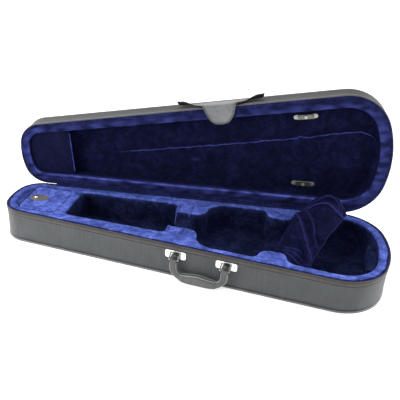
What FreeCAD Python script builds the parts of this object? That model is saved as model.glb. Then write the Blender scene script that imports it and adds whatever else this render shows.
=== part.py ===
"""Dart-shaped violin case, lid open: one STEP file per piece.

Millimetres. +X runs along the case to the wide end, +Y is the hinge side and +Z is up.
The origin is the centre of the base outline, on the surface the case rests on.
"""
import FreeCAD, Part
import math
import os

Vector = FreeCAD.Vector

# ---- outline of the case, seen from above ----
LENGTH = 790.0
NARROW_HALF = 64.4          # half width of the side lines where they reach the narrow end
WIDE_HALF = 140.0
NARROW_CORNER_R = 50.5
WIDE_CORNER_R = 89.7
NARROW_END_R = 144.0
WIDE_END_R = 229.3
SLOPE = (WIDE_HALF - NARROW_HALF) / LENGTH
SIDE_ANGLE = math.degrees(math.atan(SLOPE))

# ---- heights and walls ----
BASE_HEIGHT = 71.7          # the plane where base and lid meet, and the hinge line
LID_DEPTH = 48.0
LID_OPEN = 90.0
RIM_GAP = 0.5               # each rim stays this far from the meeting plane
PANEL = 5.4                 # bottom board and lid board
PANEL_INSET = 5.1
WALL_OUT = 1.0              # the outer face of the side walls, in from the outline
WALL_IN = 7.0
PIPING_R = 2.6
TAPE_HEIGHT = 11.0          # one half of the zip
TAPE_OUT = 0.2
COIL_R = 0.8
COIL_DROP = 0.3             # the coil stays this far inside the rim
HINGE_HALF = 262.0          # half the length of the fabric hinge

# ---- padding ----
PAD_FIT = 0.1               # the padding stands this far in from the walls
FLOOR_TOP = 12.0            # top of the padded floor
PAD_TOP = BASE_HEIGHT - RIM_GAP
BLOCK_JOIN = -266.0         # where the end block meets the neck pads
BODY_END_X = 338.0

# ---- neck well and body pit, half widths ----
WELL_X = (-258.0, -42.0)
WELL_FRONT = (48.5, 57.5)      # from the centre line, at the well's two ends
WELL_REAR = (54.5, 64.0)
WELL_CORNER_R = 11.0
NECK_HALF = 31.0
SADDLE_X = (WELL_X[1], 4.0)
SADDLE_DIP = 30.0           # depth of the channel that the neck lies in
PIT_RIM = 23.0              # rim left round the lower bout
PIT_END = 21.5
CUSHION_THICK = 15.0        # pad at the end-pin
CUSHION_HEIGHT = 44.0
CUSHION_Y = (-56.0, 40.0)

# ---- accessory compartment ----
BOX_X = (-360.0, -279.0)
BOX_HALF = 50.0
BOX_CORNER_R = 14.0
BOX_LID = 5.0
BOX_LID_GAP = 1.2
BOX_LEDGE = 5.0
BOX_LID_TOP = PAD_TOP - 0.4
RECESS_DEPTH = 8.0
PULL_CENTRE = (-334.5, 0.0)
PULL_HALF = (20.5, 13.5)
STUD_SHIFT = 6.0

# ---- lid padding ----
LID_FLOOR = 4.6
LID_PAD_NARROW = 21.0
LID_PAD_WIDE = 28.0
LID_END_PAD = (17.0, 25.0)
POCKET_EDGE = -284.0
POCKET_DEPTH = 10.0         # below the lid's rim
POCKET_SKIN = 2.0

# ---- bow clips ----
CLIP_X = 218.0
CLIP_SIDES = (74.0, 79.0)   # front and rear, from the lid's centre line
CLIP_PLATE = 50.0
CLIP_BAR = 33.0
CLIP_WIDTH = 9.0
CLIP_LIFT = 8.0             # from the lid's floor to the top of the post
CLIP_LIP = 5.0
CLIP_SPLAY = 4.4            # they follow the sides, in degrees

# ---- handle, measured along the front wall from its middle ----
HANDLE_X = 40.5
HANDLE_SPREAD = 101.0       # from plate to plate
PLATE = (41.5, 16.5, 2.0)
PLATE_Z = 51.0
BAR_R = 1.5
BAR_OUT = 12.5
BAR_Z = 46.5
LOOP_HALF = 9.25
LOOP_FOOT = 1.7             # the arms start inside the plate, this far off the wall
EYE_R = 3.6
EYE_CLEARANCE = 0.25
LEG_HALF = 7.0
STRAP_THICK = 6.0
GRIP_THICK = 13.0
GRIP_HALF = 37.0
CORE_THICK = 1.6

# ---- leatherette flap ----
FLAP_X = 42.5
FLAP_THICK = 2.2
FLAP_FOOT = 0.9             # clears the zip's coil on the way to the fold
FLAP_WING = 92.0
FLAP_RISE = 35.0            # how far it reaches up the lid's front wall
TONGUE_HALF = 36.0
TONGUE_LENGTH = 42.5
TONGUE_OUT = 6.4            # from the wall to the middle of the tongue
TONGUE_DROP = 3.2           # the fold line, beyond the lid's rim

# ---- zip sliders ----
SLIDER = (11.0, 3.2, 9.0)
SLIDER_OUT = 0.9            # outside the coil
SLIDER_TOP = 70.4
PULL_TAB = (26.0, 7.0, 1.4)
PULL_Z = 66.2
PULL_OUT = 5.4
SLIDER_X = {"wide": 241.0, "narrow": -297.0}

# ---- velvet band over the instrument ----
BAND_X = (238.0, 258.0)     # middle of the band at the front and at the rear
BAND_WIDTH = 84.0
BAND_THICK = 3.0
BAND_DRAPE = ((-86.0, 48.0), (-62.0, 53.0), (-20.0, 61.0), (25.0, 73.0), (57.0, 86.0),
              (74.0, 95.0), (84.0, 91.0), (89.0, 76.0))      # (Y, Z) of its middle


def corner_centre(mid_half, slope, end_x, corner_r, end_r, side):
    """Centre of the corner arc between a side line and an end arc (side is +1 wide, -1 narrow)."""
    norm = math.hypot(1.0, slope)
    normal = Vector(-slope / norm, 1.0 / norm, 0)
    along = Vector(side / norm, side * slope / norm, 0)
    end_centre = Vector(end_x - side * end_r, 0, 0)
    start = Vector(0, mid_half, 0) - normal * corner_r
    rel = start - end_centre
    b = rel.dot(along)
    c = rel.dot(rel) - (end_r - corner_r) ** 2
    return start + along * (math.sqrt(b * b - c) - b), normal, end_centre


def dart_wire(z, inset, wide_inset=None, narrow_end=None, wide_end=None):
    """The case outline as lines and true arcs, moved inwards by the given insets."""
    wide_inset = inset if wide_inset is None else wide_inset
    narrow_end = inset if narrow_end is None else narrow_end
    wide_end = wide_inset if wide_end is None else wide_end
    stretch = math.hypot(1.0, SLOPE)
    half_n = NARROW_HALF - inset * stretch
    half_w = WIDE_HALF - wide_inset * stretch
    slope = (half_w - half_n) / LENGTH
    mid = (half_n + half_w) / 2
    ends = []
    for side, cut, corner, end_r in ((1, wide_end, WIDE_CORNER_R - wide_inset, WIDE_END_R - wide_end),
                                     (-1, narrow_end, NARROW_CORNER_R - inset, NARROW_END_R - narrow_end)):
        tip = side * (LENGTH / 2 - cut)
        centre, normal, end_centre = corner_centre(mid, slope, tip, corner, end_r, side)
        outward = (centre - end_centre).normalize()
        on_end = end_centre + outward * end_r
        on_side = centre + normal * corner
        between = centre + (outward + normal).normalize() * corner
        ends.append((Vector(tip, 0, 0), on_end, between, on_side))
    (tip_w, end_w, mid_w, side_w), (tip_n, end_n, mid_n, side_n) = ends

    def flip(p):
        return Vector(p.x, -p.y, 0)

    edges = [Part.Arc(flip(end_w), tip_w, end_w), Part.Arc(end_w, mid_w, side_w),
             Part.LineSegment(side_w, side_n), Part.Arc(side_n, mid_n, end_n),
             Part.Arc(end_n, tip_n, flip(end_n)), Part.Arc(flip(end_n), flip(mid_n), flip(side_n)),
             Part.LineSegment(flip(side_n), flip(side_w)), Part.Arc(flip(side_w), flip(mid_w), flip(end_w))]
    wire = Part.Wire([edge.toShape() for edge in edges])
    wire.translate(Vector(0, 0, z))
    return wire


def half_width(x):
    """Half width of the case outline at x, on the straight sides."""
    return (NARROW_HALF + WIDE_HALF) / 2 + SLOPE * x


def slab(wire, height):
    """A solid as high as asked, standing on a closed flat wire."""
    return Part.Face(wire).extrude(Vector(0, 0, height))


def ring(z, height, outer, inner):
    """A wall that follows the outline, between two insets."""
    return slab(dart_wire(z, outer), height).cut(slab(dart_wire(z - 1, inner), height + 2))


def block(x, y, z):
    """A box from three (low, high) pairs."""
    return Part.makeBox(x[1] - x[0], y[1] - y[0], z[1] - z[0], Vector(x[0], y[0], z[0]))


def wire_of(steps):
    """A closed wire: each step is a point, or a pair (through, to) for an arc."""
    here = steps[0]
    edges = []
    for step in steps[1:]:
        if isinstance(step, tuple):
            edges.append(Part.Arc(here, step[0], step[1]).toShape())
            here = step[1]
        else:
            edges.append(Part.LineSegment(here, step).toShape())
            here = step
    if here.distanceToPoint(steps[0]) > 1e-6:
        edges.append(Part.LineSegment(here, steps[0]).toShape())
    return Part.Wire(edges)


def mirrored(shape):
    """The same shape on the other side of the case's long middle plane."""
    return shape.mirror(Vector(0, 0, 0), Vector(0, 1, 0))


def rounded_box(x, y, z, radius):
    """A box with its four upright edges rounded."""
    (x0, x1), (y0, y1) = x, y
    bend = radius * (1 - math.sqrt(0.5))
    steps = [Vector(x0 + radius, y0, z[0]), Vector(x1 - radius, y0, z[0]),
             (Vector(x1 - bend, y0 + bend, z[0]), Vector(x1, y0 + radius, z[0])),
             Vector(x1, y1 - radius, z[0]),
             (Vector(x1 - bend, y1 - bend, z[0]), Vector(x1 - radius, y1, z[0])),
             Vector(x0 + radius, y1, z[0]),
             (Vector(x0 + bend, y1 - bend, z[0]), Vector(x0, y1 - radius, z[0])),
             Vector(x0, y0 + radius, z[0]),
             (Vector(x0 + bend, y0 + bend, z[0]), Vector(x0 + radius, y0, z[0]))]
    return slab(wire_of(steps), z[1] - z[0])


# ---- places along a side: (along the side, outwards, up), from a point on the outline ----

def rear_side(shape, x):
    """Turn a shape made along X, with +Y outwards, onto the rear side line at x."""
    out = shape.copy()
    out.rotate(Vector(0, 0, 0), Vector(0, 0, 1), SIDE_ANGLE)
    out.translate(Vector(x, half_width(x), 0))
    return out


def front_side(shape, x):
    """The same on the front side line: the shape keeps its direction along X."""
    return mirrored(rear_side(shape, x))


HINGE_X = -28.4
HINGE_POINT = Vector(HINGE_X, half_width(HINGE_X), BASE_HEIGHT)
HINGE_AXIS = Vector(-math.cos(math.radians(SIDE_ANGLE)), -math.sin(math.radians(SIDE_ANGLE)), 0)


def opened(shape):
    """A lid piece, made in its closed place, swung to where the open lid holds it."""
    out = shape.copy()
    out.rotate(HINGE_POINT, HINGE_AXIS, LID_OPEN)
    return out


# ---- shell of the base and of the lid ----

def piping(z):
    """A round cord along the outline."""
    path = dart_wire(z, PIPING_R - 0.2)
    start = path.Edges[0].valueAt(path.Edges[0].FirstParameter)
    tangent = path.Edges[0].tangentAt(path.Edges[0].FirstParameter)
    circle = Part.Wire(Part.makeCircle(PIPING_R, start, tangent))
    return path.makePipeShell([circle], True, False, 2)


def hinge_zone(z, height):
    """The stretch of the rear side that the fabric hinge takes."""
    zone = block((-HINGE_HALF, HINGE_HALF), (-20.0, 20.0), (z, z + height))
    return rear_side(zone, HINGE_X)


def zip_tape(z):
    """Half of the zip's tape: all round but for the hinge."""
    tape = ring(z, TAPE_HEIGHT, TAPE_OUT, WALL_OUT)
    return tape.cut(hinge_zone(z - 1, TAPE_HEIGHT + 2))


def zip_coil(z):
    """The coil that the sliders run on: a thin ridge along the tape's edge."""
    coil = ring(z - COIL_R, 2 * COIL_R, TAPE_OUT - COIL_R, TAPE_OUT)
    return coil.cut(hinge_zone(z - 2, 4))


def hinge_tape(z, height):
    """The fabric hinge's half on one shell."""
    tape = ring(z, height, TAPE_OUT, WALL_OUT)
    return tape.common(hinge_zone(z - 1, height + 2))


def base_shell():
    wall_foot = PANEL
    tape_foot = BASE_HEIGHT - RIM_GAP - TAPE_HEIGHT
    return {
        "base_bottom_panel": slab(dart_wire(0, PANEL_INSET), PANEL),
        "base_side_wall": ring(wall_foot, PAD_TOP - wall_foot, WALL_OUT, WALL_IN),
        "base_piping": piping(PIPING_R + 0.1),
        "base_zip_tape": zip_tape(tape_foot),
        "base_zip_coil": zip_coil(BASE_HEIGHT - RIM_GAP - COIL_DROP - COIL_R),
        "base_hinge_tape": hinge_tape(tape_foot, TAPE_HEIGHT),
    }


def lid_shell():
    rim = BASE_HEIGHT + RIM_GAP
    top = BASE_HEIGHT + LID_DEPTH
    pieces = {
        "lid_top_panel": slab(dart_wire(top - PANEL, PANEL_INSET), PANEL),
        "lid_side_wall": ring(rim, top - PANEL - rim, WALL_OUT, WALL_IN),
        "lid_piping": piping(top - PIPING_R - 0.1),
        "lid_zip_tape": zip_tape(rim),
        "lid_zip_coil": zip_coil(rim + COIL_DROP + COIL_R),
        "lid_hinge_tape": hinge_tape(rim, TAPE_HEIGHT),
    }
    return {name: opened(shape) for name, shape in pieces.items()}


# ---- padding of the base ----

def well_solid(z, height):
    """The space of the neck well."""
    x0, x1 = WELL_X
    w0, w1 = WELL_FRONT
    v0, v1 = WELL_REAR
    r = WELL_CORNER_R
    bend = r * (1 - math.sqrt(0.5))
    steps = [Vector(x0, -w0 + r, z), (Vector(x0 + bend, -w0 + bend, z), Vector(x0 + r, -w0, z)),
             Vector(x1 - r, -w1, z), (Vector(x1 - bend, -w1 + bend, z), Vector(x1, -w1 + r, z)),
             Vector(x1, v1 - r, z), (Vector(x1 - bend, v1 - bend, z), Vector(x1 - r, v1, z)),
             Vector(x0 + r, v0, z), (Vector(x0 + bend, v0 - bend, z), Vector(x0, v0 - r, z))]
    return slab(wire_of(steps), height)


def pit_solid(z, height):
    """The violin-shaped space: shoulders, upper bout, waist and the start of the lower bout,
    closed by the case outline's own curve round the lower bout."""
    side = [("line", (-2.0, NECK_HALF), None), ("arc", (13.0, 37.0), (20.0, 55.0)),
            ("arc", (33.0, 79.0), (58.0, 89.0)), ("line", (128.0, 94.0), None),
            ("arc", (140.0, 91.5), (145.0, 82.0)), ("arc", (152.0, 70.0), (166.0, 66.0)),
            ("line", (184.0, 66.0), None), ("arc", (194.5, 70.5), (199.5, 82.0)),
            ("arc", (206.0, 94.5), (218.0, 99.5)), ("line", (262.0, 103.7), None)]
    steps = []
    for kind, a, b in side:
        steps.append(Vector(a[0], a[1], z) if kind == "line" else (Vector(*a, z), Vector(*b, z)))
    back = [Vector(-2.0, -NECK_HALF, z)]
    points = [s if isinstance(s, Vector) else s[1] for s in steps]
    throughs = [None if isinstance(s, Vector) else s[0] for s in steps]
    for index in range(len(points) - 1, 0, -1):
        start, end, mid = points[index], points[index - 1], throughs[index]
        if index == len(points) - 1:
            steps.append(Vector(start.x, -start.y, z))
        target = Vector(end.x, -end.y, z)
        steps.append(target if mid is None else (Vector(mid.x, -mid.y, z), target))
    waist = slab(wire_of(steps), height)
    bout = slab(dart_wire(z, PIT_RIM, wide_end=PIT_END), height)
    return waist.fuse(bout.common(block((240.0, 400.0), (-150.0, 150.0), (z, z + height)))).removeSplitter()


def finger_recess(z, height):
    """The crescent beside the compartment lid, where a finger lifts it."""
    x = BOX_X[0] - BOX_LID_GAP
    steps = [Vector(x, 46.0, z), (Vector(x - 17.0, 2.0, z), Vector(x, -45.0, z))]
    return slab(wire_of(steps), height)


def box_outline(margin, z, height):
    """The compartment lid's plan, grown or shrunk by a margin."""
    return rounded_box((BOX_X[0] - margin, BOX_X[1] + margin), (-BOX_HALF - margin, BOX_HALF + margin),
                       (z, z + height), BOX_CORNER_R + margin)


def saddle_channel():
    """The channel across the saddle: a round trough along X."""
    radius = (NECK_HALF ** 2 + SADDLE_DIP ** 2) / (2 * SADDLE_DIP)
    centre = Vector(SADDLE_X[0] - 20.0, 0, PAD_TOP - SADDLE_DIP + radius)
    return Part.makeCylinder(radius, SADDLE_X[1] - SADDLE_X[0] + 40.0, centre, Vector(1, 0, 0))


def base_padding():
    depth = PAD_TOP - FLOOR_TOP
    inner = WALL_IN + PAD_FIT
    full = slab(dart_wire(FLOOR_TOP, inner), depth)
    wells = well_solid(FLOOR_TOP - 1, depth + 2).fuse(pit_solid(FLOOR_TOP - 1, depth + 2))
    padding = full.cut(wells)

    def piece(x, y):
        return padding.common(block(x, y, (0.0, 100.0)))

    end_block = padding.common(block((-400.0, BLOCK_JOIN), (-150.0, 150.0), (0.0, 100.0)))
    end_block = end_block.cut(box_outline(-BOX_LEDGE, FLOOR_TOP - 1, 100.0))
    end_block = end_block.cut(box_outline(BOX_LID_GAP, BOX_LID_TOP - BOX_LID - 0.6, 100.0))
    end_block = end_block.cut(finger_recess(PAD_TOP - RECESS_DEPTH, 100.0))
    saddle = full.common(block(SADDLE_X, (-150.0, 150.0), (0.0, 100.0)))
    shoulders = block(SADDLE_X, (-150.0, 150.0), (0.0, 100.0)).cut(pit_solid(0.0, 100.0))
    saddle = saddle.common(shoulders).cut(saddle_channel())
    behind, face = PIT_END + 0.3, PIT_END + CUSHION_THICK
    cushion = slab(dart_wire(FLOOR_TOP, PIT_RIM, wide_end=behind), CUSHION_HEIGHT)
    cushion = cushion.cut(slab(dart_wire(FLOOR_TOP - 1, PIT_RIM, wide_end=face), CUSHION_HEIGHT + 2))
    cushion = cushion.common(block((300.0, 400.0), CUSHION_Y, (0.0, 100.0)))
    return {
        "padded_floor": slab(dart_wire(PANEL, inner), FLOOR_TOP - PANEL),
        "scroll_end_block": end_block,
        "front_neck_pad": piece((BLOCK_JOIN, SADDLE_X[0]), (-150.0, 0.0)),
        "rear_neck_pad": piece((BLOCK_JOIN, SADDLE_X[0]), (0.0, 150.0)),
        "neck_saddle": saddle,
        "front_body_pad": piece((SADDLE_X[1], BODY_END_X), (-150.0, 0.0)),
        "rear_body_pad": piece((SADDLE_X[1], BODY_END_X), (0.0, 150.0)),
        "wide_end_pad": piece((BODY_END_X, 400.0), (-150.0, 150.0)),
        "end_pin_cushion": cushion,
    }


def strip_profile(path, thick):
    """A closed wire of even thickness along a smooth path in the Y-Z plane."""
    curve = Part.BSplineCurve()
    curve.interpolate([Vector(0, y, z) for y, z in path])
    sides = []
    for sign in (1, -1):
        points = []
        for y, z in path:
            tangent = curve.tangent(curve.parameter(Vector(0, y, z)))[0]
            points.append(Vector(0, y, z) + Vector(0, -tangent.z, tangent.y) * (sign * thick / 2))
        side = Part.BSplineCurve()
        side.interpolate(points)
        sides.append((side, points))
    (upper, upper_points), (lower, lower_points) = sides
    ends = [Part.makeLine(upper_points[i], lower_points[i]) for i in (0, -1)]
    return Part.Wire([upper.toShape(), ends[1], lower.toShape(), ends[0]])


def instrument_band():
    """The slack velvet band: a thin solid along its drape, from the rear rim down to the front."""
    profile = strip_profile(BAND_DRAPE, BAND_THICK)
    band = Part.Face(profile).extrude(Vector(BAND_WIDTH, 0, 0))
    band.translate(Vector(-BAND_WIDTH / 2, 0, 0))
    skew = (BAND_X[1] - BAND_X[0]) / (BAND_DRAPE[-1][0] - BAND_DRAPE[0][0])
    band.rotate(Vector(0, 0, 0), Vector(0, 0, 1), -math.degrees(math.atan(skew)))
    band.translate(Vector(sum(BAND_X) / 2, 0, 0))
    return band


# ---- accessory compartment lid ----

def compartment_pieces():
    low = BOX_LID_TOP - BOX_LID
    board = box_outline(0.0, low, BOX_LID)
    oval = Part.Ellipse(Vector(*PULL_CENTRE, BOX_LID_TOP), PULL_HALF[0], PULL_HALF[1])
    plate = slab(Part.Wire(oval.toShape()), 1.6)
    plate.translate(Vector(0, 0, -1.2))
    dish = Part.Ellipse(Vector(*PULL_CENTRE, BOX_LID_TOP), PULL_HALF[0] - 2.6, PULL_HALF[1] - 2.6)
    dish = slab(Part.Wire(dish.toShape()), 3.0)
    dish.translate(Vector(0, 0, -0.5))
    seat = slab(Part.Wire(oval.toShape()), 3.0)
    seat.translate(Vector(0, 0, -1.2))
    stud_foot = Vector(PULL_CENTRE[0] - STUD_SHIFT, PULL_CENTRE[1], BOX_LID_TOP - 0.5)
    stud = Part.makeCylinder(2.2, 1.6, stud_foot)
    head = Part.makeCone(3.9, 2.9, 1.9, stud_foot + Vector(0, 0, 1.6))
    return {
        "compartment_lid": board.cut(seat),
        "compartment_pull_plate": plate.cut(dish),
        "compartment_pull_stud": stud.fuse(head).removeSplitter(),
    }


# ---- padding of the lid ----

def lid_padding():
    rim = BASE_HEIGHT + RIM_GAP
    floor = BASE_HEIGHT + LID_DEPTH - PANEL - LID_FLOOR
    depth = floor - rim
    inner = WALL_IN + PAD_FIT
    full = slab(dart_wire(rim, inner), depth)
    cavity = slab(dart_wire(rim - 1, LID_PAD_NARROW, LID_PAD_WIDE, *LID_END_PAD), depth + 2)
    padding = full.cut(cavity)
    straight = (-318.0, 300.0)

    def piece(x, y):
        return padding.common(block(x, y, (0.0, 200.0)))

    pocket = slab(dart_wire(rim + POCKET_DEPTH, LID_PAD_NARROW + 0.3, LID_PAD_WIDE + 0.3,
                            LID_END_PAD[0] + 0.3, LID_END_PAD[1]), POCKET_SKIN)
    pocket = pocket.common(block((-400.0, POCKET_EDGE), (-150.0, 150.0), (0.0, 200.0)))
    pieces = {
        "lid_floor_lining": slab(dart_wire(floor, inner), LID_FLOOR),
        "lid_front_pad": piece(straight, (-150.0, 0.0)),
        "lid_rear_pad": piece(straight, (0.0, 150.0)),
        "lid_narrow_end_pad": piece((-400.0, straight[0]), (-150.0, 150.0)),
        "lid_wide_end_pad": piece((straight[1], 400.0), (-150.0, 150.0)),
        "bow_tip_pocket": pocket,
    }
    return {name: opened(shape) for name, shape in pieces.items()}


def bar_profile(length, width, thick, z):
    """A flat bar along X with round ends, its top face at z."""
    r = width / 2
    x = length / 2 - r
    steps = [Vector(-x, -r, z - thick), Vector(x, -r, z - thick),
             (Vector(x + r, 0, z - thick), Vector(x, r, z - thick)), Vector(-x, r, z - thick),
             (Vector(-x - r, 0, z - thick), Vector(-x, -r, z - thick))]
    return slab(wire_of(steps), thick)


def clip_pieces(name, side, away):
    """A bow clip on the lid's floor: base plate with its post and screws, and the turning bar."""
    floor = BASE_HEIGHT + LID_DEPTH - PANEL - LID_FLOOR
    top = floor - CLIP_LIFT
    bar_top = top + 4.2
    plate = bar_profile(CLIP_PLATE, CLIP_WIDTH, 1.6, floor)
    post = Part.makeCylinder(2.0, CLIP_LIFT - 1.6, Vector(0, 0, top))
    cap = Part.makeCylinder(3.4, 1.2, Vector(0, 0, top))
    screws = [Part.makeCylinder(2.4, 0.9, Vector(x, 0, floor - 2.5))
              for x in (4.5 - CLIP_PLATE / 2, CLIP_PLATE / 2 - 4.5)]
    body = plate.fuse([post, cap] + screws).removeSplitter()
    bar = bar_profile(CLIP_BAR, CLIP_WIDTH, 1.6, bar_top)
    end = CLIP_BAR / 2 - 1.4
    lips = [block((x - 0.8, x + 0.8), (1.5 - CLIP_WIDTH / 2, CLIP_WIDTH / 2 - 1.5),
                  (bar_top - 1.6 - CLIP_LIP, bar_top - 0.8)) for x in (-end, end)]
    bar = bar.fuse(lips).removeSplitter().cut(Part.makeCylinder(2.2, 20.0, Vector(0, 0, top - 5.0)))
    out = {}
    for node, shape in ((name + "_clip_base", body), (name + "_clip_bar", bar)):
        shape.rotate(Vector(0, 0, 0), Vector(0, 0, 1), side * CLIP_SPLAY)
        shape.translate(Vector(CLIP_X, side * away, 0))
        out[node] = opened(shape)
    return out


# ---- handle ----

def handle_outline(shift=0.0):
    """The hanging handle seen from the front: strap legs, elbows and the deep grip, in X and Z."""
    spread = HANDLE_SPREAD / 2
    s = shift

    def p(x, z):
        return Vector(x, 0, z)

    low, inner_top = 1.5 + s, 22.0 - s
    right = [(spread + LEG_HALF - s, BAR_Z), (spread + LEG_HALF - s, 27.0)]
    steps = [p(-right[0][0], right[0][1]), p(-right[1][0], right[1][1]),
             (p(-50.0 + s, 14.5 + s), p(-33.0, 4.6 + s)), (p(0, low), p(33.0, 4.6 + s)),
             (p(50.0 - s, 14.5 + s), p(right[1][0], right[1][1])), p(right[0][0], right[0][1]),
             p(spread - LEG_HALF + s, BAR_Z), p(spread - LEG_HALF + s, 27.0),
             (p(40.5 + s, 19.3 - s), p(33.0, 16.6 - s)), (p(18.0, 19.6 - s), p(0.0, inner_top)),
             (p(-18.0, 19.6 - s), p(-33.0, 16.6 - s)),
             (p(-40.5 - s, 19.3 - s), p(-spread + LEG_HALF - s, 27.0)),
             p(-spread + LEG_HALF - s, BAR_Z)]
    return wire_of(steps)


def handle_layer(thick, shift=0.0):
    """The handle's outline as a solid, centred where the loops' bars stand out from the wall."""
    face = Part.Face(handle_outline(shift))
    face.translate(Vector(0, BAR_OUT - thick / 2, 0))
    return face.extrude(Vector(0, thick, 0))


def handle_pieces():
    spread = HANDLE_SPREAD / 2
    grip_zone = block((-GRIP_HALF, GRIP_HALF), (-50.0, 50.0), (-1.0, 40.0))
    cover = handle_layer(STRAP_THICK)
    for thick, shift in ((GRIP_THICK - 3.0, 0.8), (GRIP_THICK, 3.0)):
        cover = cover.fuse(handle_layer(thick, shift).common(grip_zone))
    bars = []
    for side in (-1, 1):
        along = Vector(side * spread - LEG_HALF, BAR_OUT, BAR_Z)
        eye = Part.makeCylinder(EYE_R, 2 * LEG_HALF, along, Vector(1, 0, 0))
        cover = cover.fuse(eye)
        bars.append(Part.makeCylinder(BAR_R + EYE_CLEARANCE, 4 * LEG_HALF, along - Vector(LEG_HALF, 0, 0),
                                      Vector(1, 0, 0)))
    core = handle_layer(CORE_THICK, 3.4)
    core = core.common(block((-70.0, 70.0), (-50.0, 50.0), (0.0, BAR_Z - EYE_R - 2.0)))
    cover = cover.cut(bars).cut(core).removeSplitter()
    out = {"handle_cover": cover, "handle_core": core}
    half_w, half_h, thick = PLATE[0] / 2, PLATE[1] / 2, PLATE[2]
    for name, side in (("left", -1), ("right", 1)):
        at = side * spread
        plate = rounded_box((at - half_w, at + half_w), (-half_h, half_h), (0.0, thick), 4.0)
        plate.rotate(Vector(at, 0, 0), Vector(1, 0, 0), -90.0)
        plate.translate(Vector(0, -WALL_OUT, PLATE_Z))
        loop = loop_piece(at)
        rivets = rivet_pair(at)
        out["handle_plate_" + name] = plate.cut(loop).cut(rivets)
        out["handle_loop_" + name] = loop
        out["plate_rivets_" + name] = rivets
    return {name: front_side(shape, HANDLE_X) for name, shape in out.items()}


def loop_piece(at):
    """A square wire loop: two arms from the plate down to the bar that carries the strap."""
    foot_z = PLATE_Z + 4.6
    arms = []
    for side in (-1, 1):
        x = at + side * LOOP_HALF
        start = Vector(x, LOOP_FOOT - WALL_OUT, foot_z)
        end = Vector(x, BAR_OUT, BAR_Z)
        arms.append(Part.makeCylinder(BAR_R, start.distanceToPoint(end), start, end - start))
        arms.append(Part.makeSphere(BAR_R, end))
    bar = Part.makeCylinder(BAR_R, 2 * LOOP_HALF, Vector(at - LOOP_HALF, BAR_OUT, BAR_Z), Vector(1, 0, 0))
    return bar.fuse(arms).removeSplitter()


def rivet_pair(at):
    """Two domed rivets, one near each end of a plate."""
    heads = []
    for side in (-1, 1):
        foot = Vector(at + side * (PLATE[0] / 2 - 5.0), -WALL_OUT + 0.3, PLATE_Z - 1.0)
        head = Part.makeCylinder(1.9, PLATE[2] + 0.4, foot, Vector(0, 1, 0))
        top = Part.makeCone(1.9, 1.1, 0.6, foot + Vector(0, PLATE[2] + 0.4, 0), Vector(0, 1, 0))
        heads.append(head.fuse(top).removeSplitter())
    return Part.makeCompound(heads)


# ---- flap on the lid's front wall ----

def flap_pieces():
    """The fixed wings lie on the wall; the tongue folds at the rim. Made closed, then opened."""
    rim = BASE_HEIGHT
    fold = rim - TONGUE_DROP
    face = TONGUE_OUT - FLAP_THICK / 2
    w, t = FLAP_WING, TONGUE_HALF

    def p(x, up):
        return Vector(x, 0, rim + up)

    wing = wire_of([p(-w + 8, FLAP_RISE), (p(-w - 1, FLAP_RISE - 8), p(-w + 7, FLAP_RISE - 16)),
                    (p(-t - 24, 13.0), p(-t - 2, 1.5)), p(t + 2, 1.5),
                    (p(t + 24, 13.0), p(w - 7, FLAP_RISE - 16)),
                    (p(w + 1, FLAP_RISE - 8), p(w - 8, FLAP_RISE))])
    panel = Part.Face(wing).extrude(Vector(0, FLAP_THICK, 0))
    panel.translate(Vector(0, FLAP_FOOT, 0))
    backing = block((-58.0, 58.0), (-WALL_OUT, FLAP_FOOT), (rim + TAPE_HEIGHT + 2.0, rim + FLAP_RISE - 3.0))
    lip = block((-t + 1, t - 1), (FLAP_FOOT, face + FLAP_THICK), (rim + 1.5, rim + 4.0))
    lip = lip.fuse(block((-t + 1, t - 1), (face, face + FLAP_THICK), (fold + 1.4, rim + 4.0)))
    fixed = panel.fuse([backing, lip]).removeSplitter()
    tip = fold - TONGUE_LENGTH

    def q(x, z):
        return Vector(x, 0, z)

    tongue = wire_of([q(-t, fold), (q(-t + 6.0, fold - 14.0), q(-t + 13.0, fold - 26.0)),
                      (q(0, tip), q(t - 13.0, fold - 26.0)), (q(t - 6.0, fold - 14.0), q(t, fold))])
    tongue = Part.Face(tongue).extrude(Vector(0, FLAP_THICK, 0))
    tongue.translate(Vector(0, face, 0))
    knuckle = Part.makeCylinder(FLAP_THICK / 2, 2 * t, Vector(-t, TONGUE_OUT, fold), Vector(1, 0, 0))
    tongue = tongue.fuse(knuckle).removeSplitter()
    pivot, axis = fold_line()
    tongue = opened(front_side(tongue, FLAP_X))
    tongue.rotate(pivot, axis, -LID_OPEN)
    return {"flap_panel": opened(front_side(fixed, FLAP_X)), "flap_tongue": tongue}


def fold_line():
    """A point and the direction of the tongue's fold, with the lid open."""
    ends = [opened(front_side(Part.Vertex(x, TONGUE_OUT, BASE_HEIGHT - TONGUE_DROP), FLAP_X)).Point
            for x in (TONGUE_HALF, -TONGUE_HALF)]
    return (ends[0] + ends[1]) / 2, (ends[1] - ends[0]).normalize()


# ---- zip sliders ----

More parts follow.
